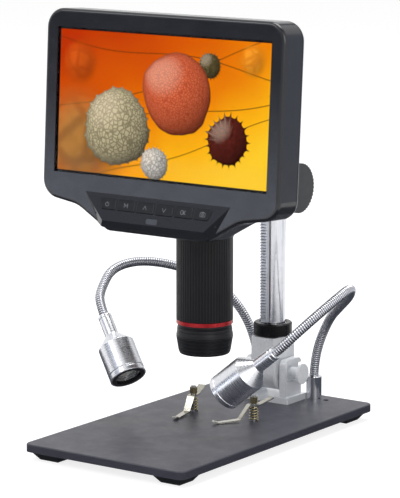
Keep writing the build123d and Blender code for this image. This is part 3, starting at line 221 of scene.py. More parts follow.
# ---------------------------------------------------------------- nodes
class Wiring:
    """Adds nodes to one tree and joins them."""

    def __init__(self, tree):
        self.tree = tree

    def put(self, socket, value):
        """Join a socket to another, or set its value."""
        if isinstance(value, bpy.types.NodeSocket):
            self.tree.links.new(value, socket)
        else:
            socket.default_value = value

    def add(self, kind, inputs=None, **choices):
        """A new node with its choices set and its inputs joined or set."""
        node = self.tree.nodes.new(kind)
        for name, value in choices.items():
            setattr(node, name, value)
        for name, value in (inputs or {}).items():
            self.put(node.inputs[name], value)
        return node

    def maths(self, operation, *values, clamp=False):
        """The result of one sum on numbers."""
        node = self.add("ShaderNodeMath", operation=operation, use_clamp=clamp)
        for socket, value in zip(node.inputs, values):
            self.put(socket, value)
        return node.outputs[0]

    def vectors(self, operation, *values):
        """The result of one sum on vectors."""
        node = self.add("ShaderNodeVectorMath", operation=operation)
        for socket, value in zip(node.inputs, values):
            self.put(socket, value)
        return node.outputs["Value" if operation in ("DOT_PRODUCT", "LENGTH") else "Vector"]

    def span(self, value, low, high, new_low, new_high, smooth=False):
        """A number moved from one span to another, and held inside it."""
        kind = "SMOOTHSTEP" if smooth else "LINEAR"
        inputs = {"Value": value, "From Min": low, "From Max": high, "To Min": new_low, "To Max": new_high}
        return self.add("ShaderNodeMapRange", inputs, interpolation_type=kind).outputs["Result"]

    def resized(self, vector, factor):
        """A vector made longer or shorter."""
        node = self.add("ShaderNodeVectorMath", {0: vector, "Scale": factor}, operation="SCALE")
        return node.outputs["Vector"]

    def grey(self, value):
        """A colour with one value in all its parts."""
        return self.add("ShaderNodeCombineXYZ", {"X": value, "Y": value, "Z": value}).outputs[0]

    def mixed(self, share, first, second):
        """Two colours mixed."""
        node = self.add("ShaderNodeMix", data_type="RGBA")
        for socket, value in zip((node.inputs[0], node.inputs[6], node.inputs[7]), (share, first, second)):
            self.put(socket, value if isinstance(value, (bpy.types.NodeSocket, float, int)) else opaque(value))
        return node.outputs[2]

    def noise(self, place, size, detail=3.0, rough=0.5):
        """Noise whose patches are about one size across."""
        inputs = {"Vector": place, "Scale": 1 / size, "Detail": detail, "Roughness": rough}
        return self.add("ShaderNodeTexNoise", inputs).outputs["Fac"]

    def spread(self, noise, low, high):
        """Noise spread from one number to another over the reach of most of its values."""
        return self.span(noise, *NOISE_REACH, low, high)

    def show(self, shader):
        """Put a shader on the surface."""
        self.put(self.add("ShaderNodeOutputMaterial").inputs["Surface"], shader.outputs[0])


def opaque(colour):
    """A colour with its fourth part."""
    return (*colour[:3], 1.0)


def scaled(colour, share):
    """A colour made darker or lighter."""
    return tuple(min(1.0, part * share) for part in colour[:3])


def blank_material(name):
    """A new material with no nodes, and its wiring."""
    material = bpy.data.materials.new(name)
    material.use_nodes = True
    material.node_tree.nodes.clear()
    return material, Wiring(material.node_tree)


def surface(name, colour, roughness, metal=0.0, cloud=0.1, cloud_size=18 * MM, haze=0.06, grain=0.0,
            grain_size=0.5 * MM, stretch=None, wear=None, **fixed):
    """A solid finish: clouded colour, uneven gloss, a fine bump where it has grain, and rubbed edges."""
    material, wiring = blank_material(name)
    place = wiring.add("ShaderNodeTexCoord").outputs["Object"]
    fine = place
    if stretch:
        fine = wiring.add("ShaderNodeMapping", {"Vector": place, "Scale": stretch}).outputs["Vector"]
    broad = wiring.noise(place, cloud_size, 5.0, 0.6)
    tone = wiring.mixed(wiring.spread(broad, 0.0, 1.0), scaled(colour, 1 - cloud), scaled(colour, 1 + cloud))
    rubbed = wiring.noise(place, cloud_size / 3, 4.0, 0.7)
    gloss = wiring.spread(rubbed, max(0.02, roughness - haze), roughness + haze)
    shader = wiring.add("ShaderNodeBsdfPrincipled", {"Metallic": metal, **fixed})
    if grain:
        texture = wiring.noise(fine, grain_size, 3.0, 0.55)
        bump = wiring.add("ShaderNodeBump", {"Height": texture, "Distance": grain, "Strength": 1.0})
        wiring.put(shader.inputs["Normal"], bump.outputs["Normal"])
        fleck = wiring.span(texture, 0.35, 0.65, *FLECKS)
        tone = wiring.vectors("MULTIPLY", tone, wiring.grey(fleck))
    if wear:
        width, worn, share = wear
        soft = wiring.add("ShaderNodeBevel", {"Radius": width}, samples=4).outputs["Normal"]
        sharp = wiring.add("ShaderNodeNewGeometry").outputs["Normal"]
        turned = wiring.span(wiring.vectors("DOT_PRODUCT", soft, sharp), *EDGE_TURN, 0.0, share)
        patchy = wiring.span(wiring.noise(place, 3 * MM, 4.0, 0.7), 0.4, 0.6, 0.3, 1.0)
        tone = wiring.mixed(wiring.maths("MULTIPLY", turned, patchy), tone, worn)
    wiring.put(shader.inputs["Base Color"], tone)
    wiring.put(shader.inputs["Roughness"], gloss)
    wiring.show(shader)
    return material


def clear_material(name, colour, roughness, index, clear=1.0):
    """Glass or clear plastic with faint smears; the low index of a coated one mirrors little."""
    material, wiring = blank_material(name)
    place = wiring.add("ShaderNodeTexCoord").outputs["Object"]
    smear = wiring.spread(wiring.noise(place, 9 * MM, 4.0, 0.6), roughness, roughness + 0.03)
    inputs = {"Transmission Weight": clear, "IOR": index, "Base Color": opaque(colour), "Roughness": smear}
    wiring.show(wiring.add("ShaderNodeBsdfPrincipled", inputs))
    return material


def turned_metal(name, colour, roughness):
    """Turned metal: fine rings left by the tool, read from a turned piece's own map."""
    material, wiring = blank_material(name)
    place = wiring.add("ShaderNodeTexCoord").outputs["UV"]
    rings = wiring.add("ShaderNodeMapping", {"Vector": place, "Scale": (0.4, 160.0, 1.0)}).outputs["Vector"]
    lines = wiring.add("ShaderNodeTexNoise", {"Vector": rings, "Scale": 1.0, "Detail": 2.0}).outputs["Fac"]
    broad = wiring.add("ShaderNodeTexNoise", {"Vector": place, "Scale": 5.0, "Detail": 3.0}).outputs["Fac"]
    tone = wiring.mixed(wiring.spread(lines, 0.0, 1.0), scaled(colour, 0.9), scaled(colour, 1.05))
    uneven = wiring.spread(broad, roughness - 0.03, roughness + 0.03)
    gloss = wiring.maths("ADD", wiring.spread(lines, -0.05, 0.05), uneven)
    bump = wiring.add("ShaderNodeBump", {"Height": lines, "Distance": 0.002 * MM, "Strength": 0.6})
    inputs = {"Metallic": 1.0, "Base Color": tone, "Roughness": gloss, "Normal": bump.outputs["Normal"]}
    wiring.show(wiring.add("ShaderNodeBsdfPrincipled", inputs))
    return material


def ribbed_metal(name, colour):
    """Plated steel with painted shade darkening the grooves between the ribs, read from the tube's own groove
    attribute.
    """
    material, wiring = blank_material(name)
    groove = wiring.add("ShaderNodeAttribute", attribute_name="groove").outputs["Fac"]
    place = wiring.add("ShaderNodeTexCoord").outputs["Object"]
    broad = wiring.noise(place, 12 * MM, 4.0, 0.6)
    bright = wiring.mixed(wiring.spread(broad, 0.0, 1.0), scaled(colour, 0.92), scaled(colour, 1.03))
    # painted shade: the deeper a point lies in a groove, the darker its colour
    tone = wiring.mixed(wiring.span(groove, 0.25, 0.85, 0.0, 0.96), bright, tint(30, 30, 34))
    gloss = wiring.span(groove, 0.2, 1.0, 0.27, 0.5)
    inputs = {"Metallic": 1.0, "Base Color": tone, "Roughness": gloss}
    wiring.show(wiring.add("ShaderNodeBsdfPrincipled", inputs))
    return material


# ---------------------------------------------------------------- meshes
def millimetres(points):
    """Points in millimetres as vectors in metres."""
    return [Vector(point) * MM for point in points]


def standing_frame(middle, x_axis, z_axis):
    """A matrix from a local frame, in metres, to the object's own; its middle is in millimetres."""
    x_axis, z_axis = Vector(x_axis).normalized(), Vector(z_axis).normalized()
    y_axis = z_axis.cross(x_axis)
    rotation = Matrix((x_axis, y_axis, z_axis)).transposed().to_4x4()
    return Matrix.Translation(Vector(middle) * MM) @ rotation


def screen_frame():
    """The display's frame: X right, Y up the picture and Z towards the viewer."""
    return standing_frame(SCREEN_MIDDLE, (1, 0, 0), (0, -math.cos(SCREEN_LEAN), math.sin(SCREEN_LEAN)))


def key_frame():
    """The frame of the keys' sloping panel."""
    local = Matrix.Translation(Vector(KEY_PANEL_MIDDLE) * MM) @ Matrix.Rotation(-KEY_PANEL_LEAN, 4, "X")
    return screen_frame() @ local


def lamp_frame(side):
    """A lamp's frame: Z runs from the mouth back towards the neck."""
    aim = Vector(LAMP_AIM[side]).normalized()
    return standing_frame(LAMP_MOUTH[side], aim.cross(UP), -aim)


def softened(profile, radius, steps, support):
    """A closed profile with its corners rounded, and a point each side that keeps the flats flat."""
    soft = []
    count = len(profile)
    for index in range(count):
        corner = Vector(profile[index])
        before = Vector(profile[index - 1]) - corner
        after = Vector(profile[(index + 1) % count]) - corner
        reach = min(radius, 0.4 * before.length, 0.4 * after.length)
        straight = before.normalized().dot(after.normalized()) < STRAIGHT_ON
        if corner.x < ON_AXIS or straight or reach < SMALLEST_CORNER:
            soft.append(tuple(corner))
            continue
        start, end = before.normalized() * reach, after.normalized() * reach
        if before.length > 3 * (reach + support):
            soft.append(tuple(corner + before.normalized() * (reach + support)))
        for step in range(steps + 1):
            share = step / steps
            soft.append(tuple(corner + start * (1 - share) ** 2 + end * share**2))
        if after.length > 3 * (reach + support):
            soft.append(tuple(corner + after.normalized() * (reach + support)))
    return soft


def turned_mesh(name, profile, segments, matrix):
    """A closed profile of radius and height in millimetres turned about Z; its map runs X round and Y along."""
    shape = bmesh.new()
    chart = shape.loops.layers.uv.new("turning")
    rings = []
    for radius, height in profile:
        if radius < ON_AXIS:
            rings.append([shape.verts.new((0.0, 0.0, height * MM))] * segments)
            continue
        angles = [2 * math.pi * step / segments for step in range(segments)]
        rings.append([
            shape.verts.new((radius * MM * math.cos(angle), radius * MM * math.sin(angle), height * MM))
            for angle in angles
        ])
    travel = [0.0]
    for first, second in zip(profile, [*profile[1:], profile[0]]):
        travel.append(travel[-1] + math.dist(first, second))
    for index, ring in enumerate(rings):
        following = rings[(index + 1) % len(rings)]
        if ring[0] is ring[1] and following[0] is following[1]:
            continue
        for step in range(segments):
            other = (step + 1) % segments
            corners = [
                (ring[step], step, 0), (ring[other], step + 1, 0),
                (following[other], step + 1, 1), (following[step], step, 1),
            ]
            kept = []
            for vertex, around, side in corners:
                if all(vertex is not held[0] for held in kept):
                    kept.append((vertex, around, side))
            face = shape.faces.new([held[0] for held in kept])
            face.smooth = True
            for loop, (_, around, side) in zip(face.loops, kept):
                loop[chart].uv = (around / segments, travel[index + side] / MAP_LENGTH)
    return closed_mesh(name, shape, matrix)


def closed_mesh(name, shape, matrix, sharp=35.0):
    """Turn a bmesh into a mesh in its place, with its faces outward and its corners crisp."""
    bmesh.ops.recalc_face_normals(shape, faces=shape.faces)
    mesh = bpy.data.meshes.new(name)
    shape.to_mesh(mesh)
    shape.free()
    mesh.transform(matrix)
    mesh.set_sharp_from_angle(angle=math.radians(sharp))
    return mesh


def slab(shape, outline, low, high):
    """Add a flat piece between two heights to a bmesh; the outline is in millimetres."""
    bottom = [shape.verts.new((x * MM, y * MM, low * MM)) for x, y in outline]
    top = [shape.verts.new((x * MM, y * MM, high * MM)) for x, y in outline]
    shape.faces.new(reversed(bottom))
    shape.faces.new(top)
    for index in range(len(outline)):
        other = (index + 1) % len(outline)
        shape.faces.new((bottom[index], bottom[other], top[other], top[index]))


def framed_slab(shape, outer, inner, low, high):
    """Add a flat frame between two outlines with the same number of points."""
    count = len(outer)
    rings = [[shape.verts.new((x * MM, y * MM, height * MM)) for x, y in outline]
             for outline, height in ((outer, low), (outer, high), (inner, high), (inner, low))]
    for index in range(count):
        other = (index + 1) % count
        for ring, following in zip(rings, [*rings[1:], rings[0]]):
            shape.faces.new((ring[index], ring[other], following[other], following[index]))


def rounded_box(width, height, radius, steps, middle=(0.0, 0.0)):
    """The outline of a rectangle with round corners."""
    points = []
    for turn, (sign_x, sign_y) in enumerate(((1, 1), (-1, 1), (-1, -1), (1, -1))):
        for step in range(steps + 1):
            angle = math.pi / 2 * (turn + step / steps)
            points.append((
                middle[0] + sign_x * (width / 2 - radius) + radius * math.cos(angle),
                middle[1] + sign_y * (height / 2 - radius) + radius * math.sin(angle),
            ))
    return points


def ribbon(points, width, closed=False):
    """The two edges of a printed line: left and right points with mitred corners."""
    line = [Vector(point) for point in points]
    left, right = [], []
    count = len(line)
    for index, point in enumerate(line):
        before = line[index - 1] if index or closed else None
        after = line[(index + 1) % count] if index < count - 1 or closed else None
        arriving = (point - before).normalized() if before is not None else (after - point).normalized()
        leaving = (after - point).normalized() if after is not None else arriving
        across = Vector((-(arriving + leaving).y, (arriving + leaving).x)).normalized()
        stretch = width / 2 / max(SHARPEST_MITRE, across.dot(Vector((-arriving.y, arriving.x))))
        left.append(tuple(point + across * stretch))
        right.append(tuple(point - across * stretch))
    return left, right


def add_line(shape, points, width, low, high, closed=False):
    """Add a raised line to a bmesh."""
    left, right = ribbon(points, width, closed)
    if closed:
        framed_slab(shape, left, right, low, high)
    else:
        slab(shape, [*left, *reversed(right)], low, high)


def placed(name, data):
    """A new object in the scene."""
    item = bpy.data.objects.new(name, data)
    bpy.context.scene.collection.objects.link(item)
    return item


def add_piece(name, mesh, material, body, slot, *nodes):
    """Make a finished piece that rides on a body, takes the given finish and stands for nodes; the slot is not
    used.
    """
    mesh.materials.clear()
    mesh.materials.append(material)
    piece = placed(name, mesh)
    if body:
        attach(piece, body)
    if nodes:
        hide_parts(*nodes)
    return piece


def coat(material, *names):
    """Give CAD nodes a finish."""
    for name in names:
        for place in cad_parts[name].material_slots:
            place.material = material


# ---------------------------------------------------------------- stand
class MICROSCOPE_OT_stand(bpy.types.Operator):
    """Finish the base plate, feet, bracket, tilt block, collar, post and rack"""

    bl_idname = "microscope.stand"
    bl_label = "Stand"

    def execute(self, context):
        stand = context.scene.microscope.stand
        coat(surface("powder_coat", stand.plate, 0.42, cloud=0.06, cloud_size=40 * MM, grain=0.035 * MM,
                     grain_size=0.55 * MM, wear=(0.5 * MM, tint(96, 98, 106), 0.55)), "base_plate")
        coat(surface("rubber", tint(30, 31, 34), 0.72, grain=0.03 * MM, grain_size=0.4 * MM), "foot_pads")
        coat(surface("satin_casting", stand.cast, 0.36, metal=0.3, cloud=0.05, grain=0.03 * MM,
                     grain_size=0.7 * MM), "stand_bracket", "tilt_block")
        coat(surface("zinc_plate", tint(242, 244, 248), 0.38, metal=0.15, cloud=0.08, cloud_size=6 * MM),
             "thumb_screw", "pivot_nut")
        coat(surface("bright_steel", tint(186, 188, 192), 0.28, metal=1.0),
             "bracket_screws", "clip_studs", "socket_nuts")
        coat(surface("collar_black", tint(12, 12, 14), 0.24, grain=0.008 * MM, grain_size=0.4 * MM,
                     wear=(0.3 * MM, tint(90, 92, 98), 0.3), **{"Specular IOR Level": 0.25}), "collar_nut")
        coat(surface("ground_steel", stand.steel, 0.2, metal=1.0, cloud=0.03, haze=0.04, grain=0.004 * MM,
                     grain_size=0.25 * MM, stretch=(1.0, 1.0, 0.03)), "post", "post_cap")
        coat(surface("rack_steel", scaled(stand.steel, 0.85), 0.33, metal=1.0, grain=0.01 * MM), "gear_rack")
        return {"FINISHED"}


# ---------------------------------------------------------------- head
class MICROSCOPE_OT_head(bpy.types.Operator):
    """Finish the display's shell, the camera housing, the carriage and what is inside"""

    bl_idname = "microscope.head"
    bl_label = "Display head"

    def execute(self, context):
        head = context.scene.microscope.head
        coat(surface("moulded_shell", head.shell, 0.2, cloud=0.05, cloud_size=50 * MM, haze=0.03,
                     grain=0.004 * MM, grain_size=0.35 * MM, wear=(0.4 * MM, tint(60, 62, 68), 0.3)),
             "front_bezel", "rear_cover", "camera_housing", "carriage")
        coat(surface("knob_rubber", tint(44, 45, 48), 0.5, grain=0.03 * MM, grain_size=0.4 * MM),
             "focus_knob_left", "focus_knob_right")
        coat(surface("inner_steel", tint(176, 178, 182), 0.3, metal=1.0),
             "focus_shaft", "pinion_gear", "head_screws")
        coat(surface("bush_plastic", tint(226, 225, 219), 0.45), "slide_bushes")
        coat(surface("circuit_lacquer", tint(22, 78, 46), 0.4, cloud=0.3, cloud_size=2 * MM),
             "main_board", "key_board", "sensor_board")
        coat(surface("panel_black", tint(8, 8, 9), 0.3, **{"Specular IOR Level": 0.1}), "lcd_panel")
        coat(surface("receiver_smoke", tint(74, 76, 84), 0.18, cloud=0.1), "ir_window")
        coat(clear_material("cover_glass", (1.0, 1.0, 1.0), 0.02, 1.1), "screen_glass")
        return {"FINISHED"}


GRAINS = (
    # across, up and radius in millimetres, light colour, dark colour, cells, softness, length of spikes
    (-60.0, -26.0, 36.0, (186, 128, 62), (128, 84, 44), 3.0, 0.70, 0.0),
    (-62.0, 24.0, 14.0, (214, 92, 20), (176, 62, 10), 3.0, 0.60, 0.0),
    (64.0, 32.0, 10.0, (246, 164, 44), (216, 116, 20), 3.0, 0.60, 0.0),
    (34.0, 27.0, 7.5, (112, 98, 60), (34, 30, 20), 7.0, 0.05, 0.24),
    (-33.0, -14.0, 24.0, (214, 202, 164), (88, 76, 50), 15.0, 0.03, 0.06),
    (11.0, 9.0, 25.0, (232, 118, 76), (156, 46, 24), 26.0, 0.02, 0.0),
    (48.0, -16.0, 14.0, (112, 40, 30), (24, 10, 10), 9.0, 0.03, 0.20),
    (-4.0, -34.0, 10.0, (232, 228, 220), (104, 94, 88), 8.0, 0.05, 0.14),
)
THREADS = (
    # height at the middle, rise across, swing, waves, phase
    (31.0, -0.10, 3.0, 0.045, 0.4),
    (-6.0, 0.22, 4.0, 0.038, 2.1),
    (-30.0, 0.34, 2.5, 0.052, 4.0),
    (18.0, 0.30, 5.0, 0.030, 5.2),
)
GROUND = (
    # share of the ramp, colour
    (0.0, (188, 48, 2)),
    (0.3, (216, 88, 2)),
    (0.55, (236, 128, 3)),
    (0.8, (252, 180, 18)),
    (1.0, (255, 204, 42)),
)
THREAD_COLOUR = (92, 44, 16)
SPECK_COLOUR = (120, 52, 14)
GLINT_COLOUR = (255, 232, 206)
GRAIN_LIGHT = (-0.42, 0.5, 0.0)
SPIKE_PAIRS = 11.0


def ground_colour(wiring, place):
    """The warm ground of the sample, with its threads and specks."""
    drift = wiring.noise(place, 60.0, 2.0, 0.5)
    slope = wiring.vectors("DOT_PRODUCT", place, (0.0042, -0.0068, 0.0))
    level = wiring.maths("ADD", slope, wiring.span(drift, 0.2, 0.8, 0.38, 0.62))
    ramp = wiring.add("ShaderNodeValToRGB", {"Fac": level})
    stops = ramp.color_ramp.elements
    for stop, (position, colour) in zip((stops[0], stops[1]), (GROUND[0], GROUND[-1])):
        stop.position = position
        stop.color = opaque(tint(*colour))
    for position, colour in GROUND[1:-1]:
        stops.new(position).color = opaque(tint(*colour))
    ground = ramp.outputs["Color"]
    parts = wiring.add("ShaderNodeSeparateXYZ", {"Vector": place}).outputs
    for height, rise, swing, waves, phase in THREADS:
        turn = wiring.maths("ADD", wiring.maths("MULTIPLY", parts["X"], waves), phase)
        wave = wiring.maths("MULTIPLY", wiring.maths("SINE", turn), swing)
        slant = wiring.maths("ADD", wiring.maths("MULTIPLY", parts["X"], rise), height)
        line = wiring.maths("ADD", wave, slant)
        gap = wiring.maths("ABSOLUTE", wiring.maths("SUBTRACT", parts["Y"], line))
        cover = wiring.span(gap, 0.15, 0.5, 0.75, 0.0, smooth=True)
        ground = wiring.mixed(cover, ground, tint(*THREAD_COLOUR))
    specks = wiring.add("ShaderNodeTexVoronoi", {"Vector": place, "Scale": 0.22}).outputs["Distance"]
    cover = wiring.span(specks, 0.03, 0.12, 0.7, 0.0, smooth=True)
    return wiring.mixed(cover, ground, tint(*SPECK_COLOUR))


def spiked(wiring, local, distance, spikes):
    """A grain's distance from its middle, drawn in where a spike stands."""
    parts = wiring.add("ShaderNodeSeparateXYZ", {"Vector": local}).outputs
    angle = wiring.maths("ARCTAN2", parts["Y"], parts["X"])
    wave = wiring.maths("ABSOLUTE", wiring.maths("SINE", wiring.maths("MULTIPLY", angle, SPIKE_PAIRS)))
    peaks = wiring.maths("POWER", wiring.maths("SUBTRACT", 1.0, wave), 3.0)
    reach = wiring.maths("ADD", 1.0, wiring.maths("MULTIPLY", peaks, spikes))
    return wiring.maths("DIVIDE", distance, reach)


def with_grain(wiring, place, under, count, grain):
    """A shaded round grain with a net on it, laid over the colour under it."""
    across, up, radius, light, dark, cells, soft, spikes = grain
    local = wiring.resized(wiring.vectors("SUBTRACT", place, (across, up, 0.0)), 1 / radius)
    uneven = wiring.noise(wiring.vectors("ADD", local, (count * 5.0, 0.0, 0.0)), 1.1, 2.0, 0.5)
    distance = wiring.maths("MULTIPLY", wiring.vectors("LENGTH", local), wiring.spread(uneven, 0.93, 1.07))
    if spikes:
        distance = spiked(wiring, local, distance, spikes)
    inside = wiring.maths("SUBTRACT", 1.0, wiring.maths("MULTIPLY", distance, distance), clamp=True)
    bulge = wiring.maths("SQRT", inside)
    facing = wiring.vectors("DOT_PRODUCT", local, GRAIN_LIGHT)
    lit = wiring.maths("ADD", facing, wiring.maths("MULTIPLY", bulge, 0.76))
    shade = wiring.span(lit, -0.3, 1.0, 0.25, 1.12)
    narrowing = wiring.maths("ADD", 0.45, wiring.maths("MULTIPLY", bulge, 0.55))
    wrapped = wiring.resized(local, wiring.maths("DIVIDE", cells / 2, narrowing))
    shifted = wiring.vectors("ADD", wrapped, (count * 7.3, count * 3.1, 0.0))
    net = wiring.add("ShaderNodeTexVoronoi", {"Vector": shifted, "Scale": 1.0}, feature="DISTANCE_TO_EDGE")
    wall = wiring.span(net.outputs["Distance"], 0.02, 0.2, 1.0, 0.0, smooth=True)
    dust = wiring.spread(wiring.noise(shifted, 0.35, 3.0, 0.7), 0.0, 1.0)
    inner = wiring.mixed(wiring.maths("MULTIPLY", dust, 0.45), tint(*light), tint(*dark))
    netted = wiring.mixed(wiring.maths("MULTIPLY", wall, 0.6), inner, tint(*dark))
    rim = wiring.maths("MULTIPLY", shade, wiring.span(bulge, 0.0, 0.45, 0.5, 1.0))
    cover = wiring.span(distance, 1 - soft, 1 + soft * 0.2, 1.0, 0.0, smooth=True)
    covered = wiring.mixed(cover, under, wiring.vectors("MULTIPLY", netted, wiring.grey(rim)))
    sheen = wiring.span(lit, 0.74, 1.02, 0.0, 0.22 if soft < 0.5 else 0.0, smooth=True)
    return wiring.mixed(wiring.maths("MULTIPLY", sheen, cover), covered, tint(*GLINT_COLOUR))


def picture_material(brightness):
    """A magnified sample on the lit display: net-patterned grains over a warm ground."""
    material, wiring = blank_material("display_picture")
    chart = wiring.add("ShaderNodeTexCoord").outputs["UV"]
    centred = wiring.vectors("SUBTRACT", chart, (0.5, 0.5, 0.0))
    place = wiring.vectors("MULTIPLY", centred, (*PICTURE_SIZE, 0.0))
    colour = ground_colour(wiring, place)
    for count, grain in enumerate(GRAINS):
        colour = with_grain(wiring, place, colour, count, grain)
    inputs = {"Base Color": (0.0, 0.0, 0.0, 1.0), "Roughness": 0.4, "Emission Color": colour,
              "Emission Strength": brightness, "Specular IOR Level": 0.0}
    wiring.show(wiring.add("ShaderNodeBsdfPrincipled", inputs))
    return material


class MICROSCOPE_OT_picture(bpy.types.Operator):
    """Light the display with a magnified sample"""

    bl_idname = "microscope.picture"
    bl_label = "Display picture"

    def execute(self, context):
        width, height = PICTURE_SIZE
        shape = bmesh.new()
        slab(shape, rounded_box(width, height, 0.3, 2), *PICTURE_DEPTH)
        chart = shape.loops.layers.uv.new("picture")
        for face in shape.faces:
            for loop in face.loops:
                loop[chart].uv = (loop.vert.co.x / (width * MM) + 0.5, loop.vert.co.y / (height * MM) + 0.5)
        mesh = closed_mesh("display_picture", shape, screen_frame())
        material = picture_material(context.scene.microscope.head.brightness)
        add_piece("display_picture", mesh, material, "head", "panel")
        return {"FINISHED"}


def arc_points(middle, radius, start, end, steps):
    """Points along an arc, its angles in degrees."""
    return [
        (middle[0] + radius * math.cos(math.radians(start + (end - start) * step / steps)),
         middle[1] + radius * math.sin(math.radians(start + (end - start) * step / steps)))
        for step in range(steps + 1)
    ]


KEY_MARKS = (
    # open lines and closed lines of each key, from the left
    ([arc_points((0, -0.1), 1.25, 125, 415, 20), [(0, 0.1), (0, 1.6)]], []),
    ([[(-1.2, -1.3), (-1.2, 1.3), (0, -0.3), (1.2, 1.3), (1.2, -1.3)]], []),
    ([[(-1.3, -1.1), (0, 1.2), (1.3, -1.1)]], []),
    ([[(-1.3, 1.1), (0, -1.2), (1.3, 1.1)]], []),
    ([[(0.45, -1.2), (0.45, 1.2)], [(1.75, 1.2), (0.5, 0.0), (1.75, -1.2)]],
     [rounded_box(1.7, 2.4, 0.8, 4, (-0.9, 0))]),
    ([[(-0.9, 1.25), (-0.6, 1.6), (0.6, 1.6), (0.9, 1.25)]],
     [rounded_box(3.6, 2.4, 0.5, 4), arc_points((0, 0), 0.62, 0, 345, 23)]),
)


class MICROSCOPE_OT_keys(bpy.types.Operator):
    """Finish the six keys and print their marks"""

    bl_idname = "microscope.keys"
    bl_label = "Keys"

    def execute(self, context):
        head = context.scene.microscope.head
        cap = surface("key_cap", head.key, 0.36, grain=0.015 * MM, grain_size=0.35 * MM,
                      wear=(0.35 * MM, tint(70, 72, 78), 0.4), **{"Specular IOR Level": 0.3})
        print_ink = surface("key_print", head.icon, 0.55, cloud=0.12, cloud_size=1.5 * MM)
        middle = (len(KEY_MARKS) - 1) / 2
        for count, (open_lines, closed_lines) in enumerate(KEY_MARKS):
            name = f"key_{count + 1}"
            coat(cap, name)
            shape = bmesh.new()
            low, high = KEY_PROUD - MARK_SUNK, KEY_PROUD + MARK_PROUD
            for line in open_lines:
                add_line(shape, line, head.mark_width / MM, low, high)
            for line in closed_lines:
                add_line(shape, line, head.mark_width / MM, low, high, closed=True)
            shift = Matrix.Translation(((count - middle) * KEY_PITCH * MM, 0.0, 0.0))
            mesh = closed_mesh(f"{name}_mark", shape, key_frame() @ shift)
            add_piece(f"{name}_mark", mesh, print_ink, name, "key_black")
        return {"FINISHED"}


class MICROSCOPE_OT_ports(bpy.types.Operator):
    """Set metal shells and tongues in the three ports on the left side"""

    bl_idname = "microscope.ports"
    bl_label = "Ports"

    def execute(self, context):
        shell = surface("port_shell", tint(190, 192, 196), 0.3, metal=1.0)
        core = surface("port_core", tint(16, 16, 18), 0.5)
        out_of_side = screen_frame() @ Matrix.Rotation(math.radians(-90), 4, "Y")
        shells, cores = bmesh.new(), bmesh.new()
        low, high = -PORT_FACE_X - PORT_SUNK, -PORT_FACE_X + PORT_PROUD
        for width, row in zip(PORT_WIDTHS, PORT_ROWS):
            middle = (PORT_DEPTH, row)
            outer = rounded_box(3.1, width, 0.7, 4, middle)
            inner = rounded_box(2.5, width - 0.6, 0.45, 4, middle)
            framed_slab(shells, outer, inner, low, high)
            slab(cores, rounded_box(2.6, width - 0.5, 0.45, 4, middle), low, low + 0.12)
            slab(cores, rounded_box(0.8, width - 2.6, 0.2, 3, middle), low, high - 0.3)
        add_piece("port_shells", closed_mesh("port_shells", shells, out_of_side), shell, "head", "screw_steel")
        add_piece("port_cores", closed_mesh("port_cores", cores, out_of_side), core, "head", "cell_black")
        return {"FINISHED"}


# ---------------------------------------------------------------- barrel
def nose_reach(height):
    """Radius of the nose at a height, in millimetres: widest at its belly."""
    taper = NOSE_TAPER_ABOVE if height > NOSE_BELLY else NOSE_TAPER_BELOW
    return NOSE_BELLY_RADIUS - abs(height - NOSE_BELLY) * taper


class MICROSCOPE_OT_barrel(bpy.types.Operator):
    """Turn the ridged nose and finish the barrel, its ring and its lenses"""

    bl_idname = "microscope.barrel"
    bl_label = "Barrel"

    def execute(self, context):
        ring = context.scene.microscope.stand.ring
        black = surface("barrel_black", tint(22, 22, 26), 0.4, grain=0.015 * MM, grain_size=0.4 * MM,
                        wear=(0.25 * MM, tint(60, 62, 68), 0.3), **{"Specular IOR Level": 0.25})
        coat(black, "focus_sleeve", "lens_mount")
        coat(surface("anodised_ring", ring, 0.2, metal=0.5, cloud=0.08, cloud_size=6 * MM), "red_ring")
        coat(surface("cell_black", tint(18, 18, 20), 0.4), "lens_cell")
        glass = clear_material("lens_glass", (0.93, 0.97, 1.0), 0.0, 1.52)
        coat(glass, "lens_elements", "front_window")
        outer = [(16.55, 74.1), (16.7, 72.7), (16.3, 72.4), (16.3, 72.0), (16.95, 71.6)]
        for top in NOSE_RIDGE_TOPS:
            high, low = nose_reach(top), nose_reach(top - NOSE_RIDGE)
            groove = low - NOSE_GROOVE_DEPTH
            outer += [(high - 0.02, top), (low - 0.02, top - 1.9), (groove, top - 2.05), (groove, top - 2.2)]
        outer += [(15.95, 56.5), (15.4, 55.3)]
        inner = [
            (9.6, 55.3), (9.6, 56.3), (11.05, 56.3), (11.05, 57.8),
            (11.5, 57.8), (11.5, 62.7), (13.55, 62.7), (13.55, 74.1),
        ]
        profile = softened([*outer, *inner], 0.16, 3, 0.08)
        matrix = Matrix.Translation((0.0, LENS_Y * MM, 0.0))
        mesh = turned_mesh("ridged_nose", profile, 128, matrix)
        add_piece("ridged_nose", mesh, black, "head", "barrel_black", "lens_nose")
        return {"FINISHED"}


